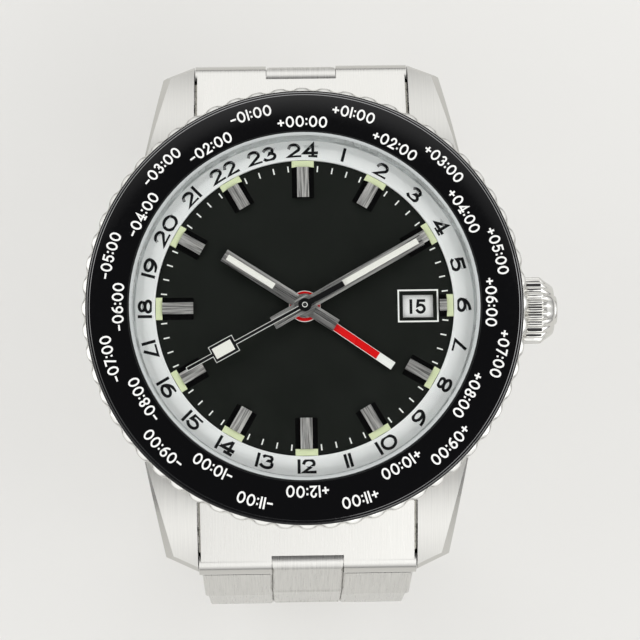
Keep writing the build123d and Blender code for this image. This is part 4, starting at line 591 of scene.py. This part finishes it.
def case_metal(name, metal, rough=(0.24, 0.42), smear=0.0):
    """Steel with its tops brushed lengthwise and its flanks and bevels polished, told apart by how
    far they face up. The smear spreads a glint along X, square to the brushed lines."""
    material, tree, place = start_material(name)
    lines = lines_along(tree, place, 0, BELT_LINES)
    top = ramp(tree, maths(tree, "ABSOLUTE", upward(tree)), low=0.8, high=0.86)
    streaks = maths(tree, "MULTIPLY", lines, top)
    polished = ramp(tree, noise(tree, place, 900.0, 4.0), 0.06, 0.12)
    return finish_material(material, tree, {
        "Metallic": 1.0,
        "Anisotropic": smear,
        "Tangent": in_world(tree, (1, 0, 0)),
        "Base Color": darkened(tree, streaks, metal, 0.86),
        "Roughness": between(tree, top, polished, ramp(tree, lines, *rough)),
        "Normal": relief(tree, streaks, 0.3),
    })


def polished_metal(name, metal, rough=(0.05, 0.11)):
    """Polished steel: mirror bright, with faint cloudy wear and hairlines about 0.2 mm apart."""
    material, tree, place = start_material(name)
    cloud = noise(tree, place, 700.0, 4.0)
    hair = noise(tree, place, 5000.0, 2.0, Distortion=1.5)
    return finish_material(material, tree, {
        "Metallic": 1.0,
        "Base Color": darkened(tree, cloud, metal, 0.93),
        "Roughness": ramp(tree, cloud, *rough),
        "Normal": relief(tree, hair, 0.05, SCRATCH_DEPTH / 2),
    })


def marker_metal(name, metal, spacing=0.00015):
    """Applied marker: the top facet is brushed along the radius. The sloping sides are polished steel
    painted near black with no specular, a painted reflection of the dark they mirror."""
    material, tree, place = start_material(name)
    lines = lines_along(tree, place, "radial", spacing)
    top = ramp(tree, upward(tree), low=0.9, high=0.96)
    # Painted reflection: the sloping sides get near black colour, no metal and no specular, in place of
    # the dark they would mirror
    tone = node(tree, "Mix", {"data_type": "RGBA", 0: top, 6: (0.004, 0.004, 0.004, 1),
                                        7: darkened(tree, lines, metal, 0.3, 0.38, 0.6)})
    return finish_material(material, tree, {
        "Anisotropic": 0.8,
        "Tangent": across_lines(tree, place),
        "Metallic": top,
        "Specular IOR Level": maths(tree, "MULTIPLY", top, 0.5),
        "Base Color": tone.outputs[2],
        "Roughness": between(tree, top, 0.08, ramp(tree, lines, 0.34, 0.55)),
        "Normal": relief(tree, lines, 0.25),
    })


def lacquer(name, paint, rough=0.35, grain=0.00012, coat=0.0, bump=0.08, shine=0.5):
    """Sprayed lacquer: an even tone with a faint orange peel, whose grains are 0.12 mm wide where
    the call says nothing else."""
    material, tree, place = start_material(name)
    peel = noise(tree, place, 1 / grain, 3.0)
    cloud = noise(tree, place, 260.0, 2.0)
    return finish_material(material, tree, {
        "Coat Weight": coat,
        "Coat Roughness": 0.06,
        "Specular IOR Level": shine,
        "Base Color": darkened(tree, cloud, paint, 0.93),
        "Roughness": ramp(tree, cloud, rough * 0.9, rough * 1.1),
        "Normal": relief(tree, peel, bump),
    })


def glow_paint(name, paint):
    """Luminous paint: matt and grainy, with pigment grains about 0.05 mm wide."""
    material, tree, place = start_material(name)
    grain = noise(tree, place, 20000.0, 2.0)
    return finish_material(material, tree, {
        "Roughness": 0.75,
        "Base Color": darkened(tree, grain, paint, 0.88),
        "Normal": relief(tree, grain, 0.3),
    })


def insert_gloss(name, paint, bright="#8E8E8E"):
    """Glossy black ceramic: a deep polish with a few hairlines, and two bright metallic lines painted
    on the narrow facets near the insert's edge. They are painted reflections of light on its rounded
    edge, and being metallic they go dark towards 6 o'clock."""
    material, tree, place = start_material(name)
    radius = from_axis(tree, place)
    # Painted reflections: bright grey metallic rings on the two facets stand in for light caught on the
    # insert's rounded edge
    reflection_marks = 0.0
    for ring in FACETS:
        away = maths(tree, "ABSOLUTE", maths(tree, "SUBTRACT", radius, ring))
        mark = ramp(tree, away, 1.0, 0.0, FACET_HALF, FACET_HALF * 1.2)
        reflection_marks = maths(tree, "MAXIMUM", mark, reflection_marks)
    hair = noise(tree, place, 1500.0, 3.0, Distortion=2.0)
    return finish_material(material, tree, {
        "IOR": 1.5,
        "Coat Weight": 0.3,
        "Coat Roughness": 0.03,
        "Base Color": tint(tree, reflection_marks, paint, linear(bright)),
        "Metallic": reflection_marks,
        "Roughness": ramp(tree, hair, 0.05, 0.12, 0.35),
    })


def clear_crystal(name):
    """Coated sapphire: clear, with a weak sharp reflection that grows at grazing angles. Light
    passes it straight, because its two faces are nearly parallel."""
    material, tree, place = start_material(name)
    smear = noise(tree, place, 500.0, 2.0)
    clear = node(tree, "BsdfTransparent", {"Color": (0.996, 0.998, 0.998, 1)})
    gloss = node(tree, "BsdfGlossy", {
        "Color": (1, 1, 1, 1), "Roughness": ramp(tree, smear, 0.01, 0.05)})
    fresnel = node(tree, "Fresnel", {"IOR": 1.13})
    return finish_material(material, tree, {
        0: fresnel.outputs[0], 1: clear.outputs[0], 2: gloss.outputs[0]}, "MixShader")


def studio_paint(name, paint):
    """Painted studio floor: matt and even, with a faint mottle."""
    material, tree, place = start_material(name)
    mottle = noise(tree, place, 30.0, 4.0)
    return finish_material(material, tree, {
        "Roughness": 0.85, "Base Color": tint(tree, mottle, shade(paint, 0.98), paint)})


FINISH = {}


def finishes():
    """Every material of the watch, made once."""
    if FINISH:
        return FINISH
    c = bpy.context.scene.watch_colours
    hand = {"spacing": 0.00013, "rough": (0.24, 0.42), "dark": 0.4, "smear": 0.7}
    FINISH.update(
        brushed=brushed_metal("Steel, brushed lengthwise", c.steel),
        back=brushed_metal("Steel, brushed round", c.steel, "round", spacing=0.00012),
        hour_hand=brushed_metal("Steel, hour hand, brushed along", c.steel, HAND_TURN["hour"],
                                **hand),
        minute_hand=brushed_metal("Steel, minute hand, brushed along", c.steel, HAND_TURN["minute"],
                                  **hand),
        case=case_metal("Steel, brushed tops and polished flanks", c.steel, rough=(0.42, 0.56),
                        smear=0.7),
        end_link=case_metal("Steel, brushed end links", c.steel),
        polished=polished_metal("Steel, polished", c.steel),
        marker=marker_metal("Steel, applied markers", c.steel),
        insert=insert_gloss("Ceramic, glossy black", c.insert),
        insert_ink=lacquer("Ink, white on the insert", c.insert_ink, rough=0.5),
        ring=lacquer("Lacquer, white satin", c.ring, rough=0.42, coat=0.1),
        numeral=lacquer("Ink, black numerals", c.numeral, rough=0.5, shine=0.2),
        dial=lacquer("Lacquer, near-black satin", c.dial, rough=0.5, grain=0.00008, bump=0.1,
                     shine=0.2),
        ink=lacquer("Ink, white on the dial", c.ink, rough=0.55),
        marker_glow=glow_paint("Luminous paint, pale green", c.marker_glow),
        hand_glow=glow_paint("Luminous paint, ivory", c.hand_glow),
        red=lacquer("Lacquer, red gloss", c.red, rough=0.28, coat=0.4),
        black=lacquer("Lacquer, black satin", c.black, shine=0.25),
        brass=brushed_metal("Brass, brushed plates", c.brass, spacing=0.0001),
        wheel=brushed_metal("Brass, turned wheels", c.brass, "round", spacing=0.00008),
        spring=brushed_metal("Spring steel, tempered", shade(c.steel, 0.6), spacing=0.0001),
        rotor=brushed_metal("Tungsten alloy, brushed round", shade(c.steel, 0.55), "round",
                            spacing=0.00012),
        ruby=lacquer("Synthetic ruby, polished", c.ruby, rough=0.1, coat=0.6, bump=0.02),
        gasket=lacquer("Nylon, moulded seal", c.gasket, rough=0.4, grain=0.0002),
        date=lacquer("Lacquer, white date ring", linear("#ECEDEA"), rough=0.55),
        crystal=clear_crystal("Sapphire, coated"),
        floor=studio_paint("Paint, pale studio floor", c.floor),
    )
    return FINISH


def figure_rows(sizes, surface):
    """Offsets from universal time in two staggered rows: even hours on the inner row, and odd
    ones on the outer row."""
    parts = []
    for step in range(HOURS):
        offset = step if step <= HOURS // 2 else step - HOURS
        text = f"{'-' if offset < 0 else '+'}{abs(offset):02d}:00"
        radius = sizes.label_inner if step % 2 == 0 else sizes.label_outer
        parts += figures(text, sizes.label_height, sizes.label_stroke, FIGURE_INK,
                         on_ring(step * HOUR_TURN, radius, surface), squeeze=0.66, gap=0.15 * MM)
    return parts


class WATCH_OT_bezel(bpy.types.Operator):
    """Build the scalloped bezel, its black insert and the printed offsets"""

    bl_idname = "watch.bezel"
    bl_label = "Bezel"

    def execute(self, context):
        s, f = context.scene.watch_sizes, finishes()
        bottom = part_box("bezel")[0][2]
        slope = (s.insert_rise - s.insert_edge_rise) / (s.insert_outer - s.insert_inner)

        def cone(radius):
            """Height of the straight cone between the insert's edges."""
            return DIAL_TOP + s.insert_edge_rise + (s.insert_outer - radius) * slope

        def crowned(radius):
            """Height of the insert: the cone with a low crown, and a drop at each facet."""
            share = (radius - s.insert_inner) / (s.insert_outer - s.insert_inner)
            fall = sum(np.clip((radius - ring + FACET_HALF) / (2 * FACET_HALF), 0, 1)
                       for ring in FACETS)
            return cone(radius) + INSERT_BULGE * np.sin(np.clip(share, 0, 1) * pi) - FACET_DROP * fall

        # Radius: the profile's less scallop depth times wave times weight, which grows to the rim
        bore, rim, seat = 17.45 * MM, s.bezel_radius, s.insert_outer + INSERT_PLAY
        chamfer, top = 0.3 * MM, cone(s.insert_outer) - 0.04 * MM
        profile = round_corners([
            (bore, bottom), (rim - chamfer, bottom), (rim, bottom + chamfer),
            (rim, bottom + 0.9 * MM), (rim, top - 0.45 * MM), (rim - 0.03 * MM, top - 0.2 * MM),
            (seat, top), (seat, cone(s.insert_outer) - INSERT_THICK), (bore, cone(bore) - INSERT_THICK),
        ], {6: 0.03, 5: 0.06, 2: 0.1, 1: 0.1})
        points, faces = turned(profile, SCALLOPS * WAVE_STEPS)
        wave = waves(SCALLOPS, 1.8)[1]
        edge = seat + INSERT_PLAY
        weight = np.clip((profile[:, 0] - edge) / (rim - edge), 0, 1)
        cut = 1 - s.bezel_scallop * weight[:, None] * wave[None, :] / profile[:, :1]
        points[..., :2] *= cut[..., None]
        make_piece("bezel_shell", [(points, faces)], f["polished"], "bezel", "steel_polished",
                   ("bezel",), sharp=50)

        # The insert's top has points at the edges of both facets, and its rounded edge starts at
        # 82 degrees, where it is as steep as the top
        lines = np.array([[ring - FACET_HALF, ring + FACET_HALF] for ring in FACETS])
        first, last = s.insert_inner + 0.12 * MM, 19.3 * MM
        radii = np.concatenate([np.linspace(first, last, 24), lines.ravel()])
        turn = np.radians(np.linspace(82, 0, 40))
        outer = np.column_stack([
            s.insert_outer - INSERT_BEND + INSERT_BEND * np.cos(turn),
            crowned(s.insert_outer - INSERT_BEND) - INSERT_BEND + INSERT_BEND * np.sin(turn)])
        profile = np.concatenate([
            [(s.insert_inner, cone(s.insert_inner) - INSERT_THICK),
             (s.insert_inner, cone(s.insert_inner) - 0.1 * MM)],
            np.column_stack([radii, crowned(radii)]), outer,
            [(s.insert_outer, cone(s.insert_outer) - INSERT_THICK)],
        ])
        make_piece("insert_gloss", [turned(profile)], f["insert"], "bezel", "black_ceramic",
                   ("bezel_insert",), sharp=2.5)
        make_piece("insert_offsets", figure_rows(s, crowned), f["insert_ink"], "bezel",
                   "black_ceramic")
        return {"FINISHED"}


class WATCH_OT_crystal(bpy.types.Operator):
    """Build the domed crystal with its raised wall and rounded edge"""

    bl_idname = "watch.crystal"
    bl_label = "Crystal"

    def execute(self, context):
        low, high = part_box("crystal")
        radius, crest = high[0], high[2]
        edge, roof = DIAL_TOP + 2.4 * MM, DIAL_TOP + 1.9 * MM
        bore, dome_radius = radius - 0.9 * MM, radius - 0.35 * MM
        share = np.linspace(0, 1, 24)
        dome = np.column_stack([dome_radius * share, crest - (crest - edge) * share ** 2])
        profile = np.concatenate([
            dome, [(radius - 0.12 * MM, edge - 0.1 * MM), (radius, edge - 0.3 * MM), (radius, low[2]),
                   (bore, low[2]), (bore, roof), (0, roof)]])
        make_piece("crystal_dome", [turned(profile, 256, closed=False)], finishes()["crystal"],
                   "case", "sapphire", ("crystal",), sharp=40)
        return {"FINISHED"}


class WATCH_OT_hour_ring(bpy.types.Operator):
    """Build the white hour ring with its lip and the 24 hour numerals"""

    bl_idname = "watch.hour_ring"
    bl_label = "Hour Ring"

    def execute(self, context):
        s, f = context.scene.watch_sizes, finishes()
        low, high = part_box("hour_ring")
        lip_width = 0.16 * MM
        inner, outer = 13.55 * MM, high[0]
        lip = inner + lip_width

        def surface(radius):
            """Height of the ring, which rises a little from its lip to its edge."""
            share = (radius - lip) / (outer - lip)
            return DIAL_TOP + 0.22 * MM + 0.08 * MM * np.clip(share, 0, 1)

        profile = round_corners([
            (inner, low[2]), (outer, low[2]), (outer, surface(outer)),
            (lip + lip_width, surface(lip + lip_width)), (lip, high[2]), (inner, high[2]),
        ], {5: 0.05, 4: 0.05, 3: 0.05})
        make_piece("hour_ring_lacquer", [turned(profile)], f["ring"], "case", "white_lacquer",
                   ("hour_ring",), sharp=50)

        # The numerals below the middle of the dial stand the other way up
        parts = []
        for hour in range(1, HOURS + 1):
            place = on_ring(hour * HOUR_TURN, s.numeral_radius, surface,
                            outward=not 6 < hour < 18, bend=False)
            parts += figures(str(hour), s.numeral_height, s.numeral_stroke, FIGURE_INK, place,
                             squeeze=1.16, gap=0.14 * MM)
        make_piece("hour_numerals", parts, f["numeral"], "case", "black_lacquer")
        return {"FINISHED"}


class WATCH_OT_dial_print(bpy.types.Operator):
    """Print the minute ticks, the frame of the date window and the 31 dates of the ring below it"""

    bl_idname = "watch.dial_print"
    bl_label = "Dial Printing"

    def execute(self, context):
        s, f = context.scene.watch_sizes, finishes()
        parts = [slab(s.tick_width, *DIAL_INK, s.tick_inner, s.tick_outer,
                      facing(minute * 6, DIAL_TOP)) for minute in range(60) if minute % 5]

        def upright(side):
            """Places a line on the left or right side of the date window."""
            return lambda p: p + np.array([WINDOW_X + side * WINDOW_HALF_WIDE, 0, DIAL_TOP])

        def level(side):
            """Places a line on the lower or upper side of the date window."""
            return lambda p: np.stack([WINDOW_X + p[..., 1], side * WINDOW_HALF_TALL - p[..., 0],
                                       p[..., 2] + DIAL_TOP], -1)

        for side in (-1, 1):
            for place, reach in ((upright(side), WINDOW_HALF_TALL + WINDOW_LINE / 2),
                                 (level(side), WINDOW_HALF_WIDE - WINDOW_LINE / 2)):
                parts.append(slab(WINDOW_LINE, *DIAL_INK, -reach, reach, place))
        make_piece("dial_printing", parts, f["ink"], "case", "date_white")

        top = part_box("date_ring")[1][2]

        def on_date_ring(day):
            """Places a date round the ring, with the shown one in the window."""
            turn = radians((SHOWN_DATE - day) * 360 / DATES)

            def place(p, middle):
                across, up = WINDOW_X + p[..., 0] + middle, p[..., 1]
                return np.stack([across * cos(turn) - up * sin(turn),
                                 across * sin(turn) + up * cos(turn), p[..., 2] + top], -1)

            return place

        dates = [part for day in range(1, DATES + 1)
                 for part in figures(str(day), s.date_height, s.date_stroke, DIAL_INK,
                                     on_date_ring(day), squeeze=0.8, gap=0.3 * MM)]
        make_piece("date_figures", dates, f["numeral"], "date_ring", "black_lacquer")
        return {"FINISHED"}


class WATCH_OT_markers(bpy.types.Operator):
    """Build the luminous plots at the hours with their cut edges"""

    bl_idname = "watch.markers"
    bl_label = "Luminous Plots"

    def execute(self, context):
        parts = [slab(PLOT_WIDE, 0, PLOT_TALL, PLOT_START, PLOT_END, facing(hour * 30, DIAL_TOP),
                      PLOT_EDGE) for hour in range(12)]
        make_piece("hour_plots", parts, finishes()["marker_glow"], "case", "luminous_paint",
                   ("marker_lume",))
        return {"FINISHED"}


class WATCH_OT_hands(bpy.types.Operator):
    """Build the hour, minute, 24 hour and seconds hands with their strips, outlines and hubs"""

    bl_idname = "watch.hands"
    bl_label = "Hands"

    def execute(self, context):
        s, f = context.scene.watch_sizes, finishes()
        for hand, (tail, tip, first, last, hub, bore) in STEEL_HANDS.items():
            low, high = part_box(f"{hand}_hand")
            place, tall = facing(HAND_TURN[hand], low[2]), high[2] - low[2]
            half, flat = s.hand_width / 2, 0.3 * MM
            section = [(-half, 0), (half, 0), (half, tall * 0.6), (flat, tall * 0.9),
                       (-flat, tall * 0.9), (-half, tall * 0.6)]
            make_piece(f"{hand}_hand_steel",
                       [bar(section, -tail * MM, tip * MM, place),
                        disc(hub * MM, 0, tall * 1.02, place, 0.05 * MM, bore * MM)],
                       f[f"{hand}_hand"], hand, "steel_brushed", (f"{hand}_hand",))
            strip = slab(s.hand_glow, tall * 0.5, tall, first * MM, last * MM, place, 0.02 * MM)
            make_piece(f"{hand}_hand_strip", [strip], f["hand_glow"], hand, "luminous_paint")
        for hand, pieces in PAINTED_HANDS.items():
            low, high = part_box(f"{hand}_hand")
            place, tall = facing(HAND_TURN[hand], low[2]), high[2] - low[2]
            solids = (f"{hand}_hand",)
            for name, finish, slot, strips, plates in pieces:
                parts = [slab(width * MM, tall * bottom, tall * top, start * MM, end * MM, place,
                              edge * MM) for width, bottom, top, start, end, edge in strips]
                parts += [disc(radius * MM, tall * bottom, tall * top, place, edge * MM, bore * MM,
                               corners) for radius, bottom, top, edge, bore, corners in plates]
                make_piece(name, parts, f[finish], hand, slot, solids)
                solids = ()
        return {"FINISHED"}


class WATCH_OT_crown(bpy.types.Operator):
    """Build the fluted winding knob with its domed end"""

    bl_idname = "watch.crown"
    bl_label = "Winding Knob"

    def execute(self, context):
        s = context.scene.watch_sizes
        low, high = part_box("crown")
        middle, rim = (low[2] + high[2]) / 2, s.crown_radius
        start, end = low[0], high[0]
        shoulder, hollow, bore = start + 2.15 * MM, start + 1.5 * MM, 1.95 * MM
        profile = round_corners([
            (start, bore), (start, rim - 0.15 * MM), (start + 0.15 * MM, rim),
            (shoulder - 0.1 * MM, rim), (shoulder + 0.3 * MM, rim - 0.35 * MM),
            (shoulder + 0.75 * MM, rim - 0.62 * MM), (shoulder + 1.1 * MM, 2.2 * MM),
            (shoulder + 1.12 * MM, 1.4 * MM), (end - 0.08 * MM, 1.34 * MM), (end, 1.22 * MM),
            (end, 0), (hollow, 0), (hollow, bore),
        ], {6: 0.12, 4: 0.12, 3: 0.1}, steps=5)

        # Radius: the profile's less flute depth times wave times weight, which grows to the rim
        angle, wave = waves(FLUTES, 1.5)
        weight = np.clip((profile[:, 1] - (rim - 0.5 * MM)) / (0.45 * MM), 0, 1)
        reach = profile[:, 1:] - s.crown_flute * weight[:, None] * wave[None, :]
        points = np.stack([np.broadcast_to(profile[:, :1], reach.shape), reach * np.cos(angle),
                           middle + reach * np.sin(angle)], -1)
        make_piece("crown_shell", [(points, grid_faces(len(profile), len(angle), True, True))],
                   finishes()["polished"], "crown", "steel_polished", ("crown",), sharp=45)
        return {"FINISHED"}


# Solids that aren't plain brushed steel, by finish
NODE_FINISH = {name: finish for finish, names in {
    "case": ("case_middle",),
    "back": ("case_back", "train_bridge", "balance_cock"),
    "end_link": ("end_links",),
    "polished": ("crown_tube", "winding_stem", "movement_screws", "cannon_pinion", "fourth_wheel",
                 "clasp_button_left", "clasp_button_right"),
    "gasket": ("case_gaskets",),
    "spring": ("bezel_spring", "setting_lever", "mainspring", "ratchet_wheel", "crown_wheel",
               "escape_wheel", "pallet_fork", "hairspring"),
    "dial": ("dial",),
    "marker": ("hour_markers",),
    "brass": ("movement_holder", "main_plate"),
    "ruby": ("movement_jewels",),
    "date": ("date_ring",),
    "rotor": ("rotor",),
    "wheel": ("barrel", "intermediate_wheel", "third_wheel", "balance_wheel", "minute_wheel",
              "hour_wheel", "gmt_wheel"),
}.items() for name in names}


class WATCH_OT_metal(bpy.types.Operator):
    """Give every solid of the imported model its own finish"""

    bl_idname = "watch.metal"
    bl_label = "Finishes of the Solids"

    def execute(self, context):
        f = finishes()
        for name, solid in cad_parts.items():
            solid.data.materials.clear()
            solid.data.materials.append(f[NODE_FINISH.get(name, "brushed")])
        return {"FINISHED"}


class WATCH_OT_stage(bpy.types.Operator):
    """Set the pale floor, the soft studio light and the camera at the photograph's angle"""

    bl_idname = "watch.stage"
    bl_label = "Studio"

    def execute(self, context):
        scene = context.scene
        mesh = bpy.data.meshes.new("studio_floor")
        turn = np.arange(FLOOR_CORNERS) * 2 * pi / FLOOR_CORNERS
        height = np.full(FLOOR_CORNERS, CAD_BOX[0][2] - FLOOR_DROP)
        corners = np.column_stack([FLOOR_RADIUS * np.cos(turn), FLOOR_RADIUS * np.sin(turn), height])
        mesh.from_pydata(corners.tolist(), [], [list(range(FLOOR_CORNERS))])
        mesh.materials.append(finishes()["floor"])
        floor = bpy.data.objects.new("studio_floor", mesh)
        scene.collection.objects.link(floor)

        # The sky grows brighter from the horizon up to a dark cap overhead
        world = bpy.data.worlds.new("Studio")
        world.use_nodes = True
        tree = world.node_tree
        tree.nodes.clear()
        place = node(tree, "TexCoord").outputs["Generated"]
        up = node(tree, "SeparateXYZ", {"Vector": place}).outputs[2]
        sky = tint(tree, ramp(tree, up, low=0.8, high=0.92), linear("#F4F4F4"), linear("#3A3A3C"))
        light = node(tree, "Background", {
            "Color": sky, "Strength": ramp(tree, up, 0.45, 1.6, 0.02, 0.5)})
        node(tree, "OutputWorld", {"Surface": light.outputs[0]})
        scene.world = world

        for name, tilt, way, side, power in LAMPS:
            lamp = bpy.data.lights.new(name, "AREA")
            lamp.shape, lamp.size, lamp.energy = "SQUARE", side, power
            holder = bpy.data.objects.new(name, lamp)
            tilt, way = radians(tilt), radians(way)
            place = Vector((sin(tilt) * cos(way), sin(tilt) * sin(way), cos(tilt))) * LAMP_DISTANCE
            holder.location = place
            holder.rotation_euler = (-place).to_track_quat("-Z", "Y").to_euler()
            scene.collection.objects.link(holder)

        about_z, about_y, about_x = (Matrix.Rotation(radians(angle), 3, axis)
                                     for angle, axis in CAMERA_TURNS)
        back = (about_z @ about_y @ about_x).transposed()
        lens = bpy.data.cameras.new("camera")
        lens.lens, lens.sensor_width = SENSOR * FOCAL_PIXELS / PICTURE_PIXELS, SENSOR
        lens.clip_start, lens.clip_end = 0.01, 10
        camera = bpy.data.objects.new("camera", lens)
        camera.matrix_world = Matrix.Translation(
            back @ (Vector(CAMERA_PLACE) * MM) + Vector((0, 0, DIAL_TOP))) @ back.to_4x4()
        scene.collection.objects.link(camera)
        scene.camera = camera
        scene.view_settings.view_transform = "Standard"
        return {"FINISHED"}


class WATCH_PT_sidebar(bpy.types.Panel):
    """Lists the watch's sizes, colours and building steps"""

    bl_idname = "WATCH_PT_sidebar"
    bl_label = "World Time Watch"
    bl_space_type = "VIEW_3D"
    bl_region_type = "UI"
    bl_category = "Watch"

    def draw(self, context):
        scene = context.scene
        for title, group in (("Sizes", scene.watch_sizes), ("Colours", scene.watch_colours)):
            box = self.layout.box()
            box.label(text=title)
            for key in group.__annotations__:
                box.prop(group, key)
        for step in STEPS:
            self.layout.operator(step.bl_idname)


STEPS = (WATCH_OT_metal, WATCH_OT_bezel, WATCH_OT_crystal, WATCH_OT_hour_ring, WATCH_OT_dial_print,
         WATCH_OT_markers, WATCH_OT_hands, WATCH_OT_crown, WATCH_OT_stage)
CLASSES = (WatchSizes, WatchColours, *STEPS, WATCH_PT_sidebar)


def register():
    for item in CLASSES:
        bpy.utils.register_class(item)
    bpy.types.Scene.watch_sizes = PointerProperty(type=WatchSizes)
    bpy.types.Scene.watch_colours = PointerProperty(type=WatchColours)


def unregister():
    del bpy.types.Scene.watch_sizes
    del bpy.types.Scene.watch_colours
    for item in reversed(CLASSES):
        bpy.utils.unregister_class(item)


def main():
    """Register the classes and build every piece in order."""
    register()
    for step in STEPS:
        group, name = step.bl_idname.split(".")
        getattr(getattr(bpy.ops, group), name)()


if __name__ == "__main__":
    main()
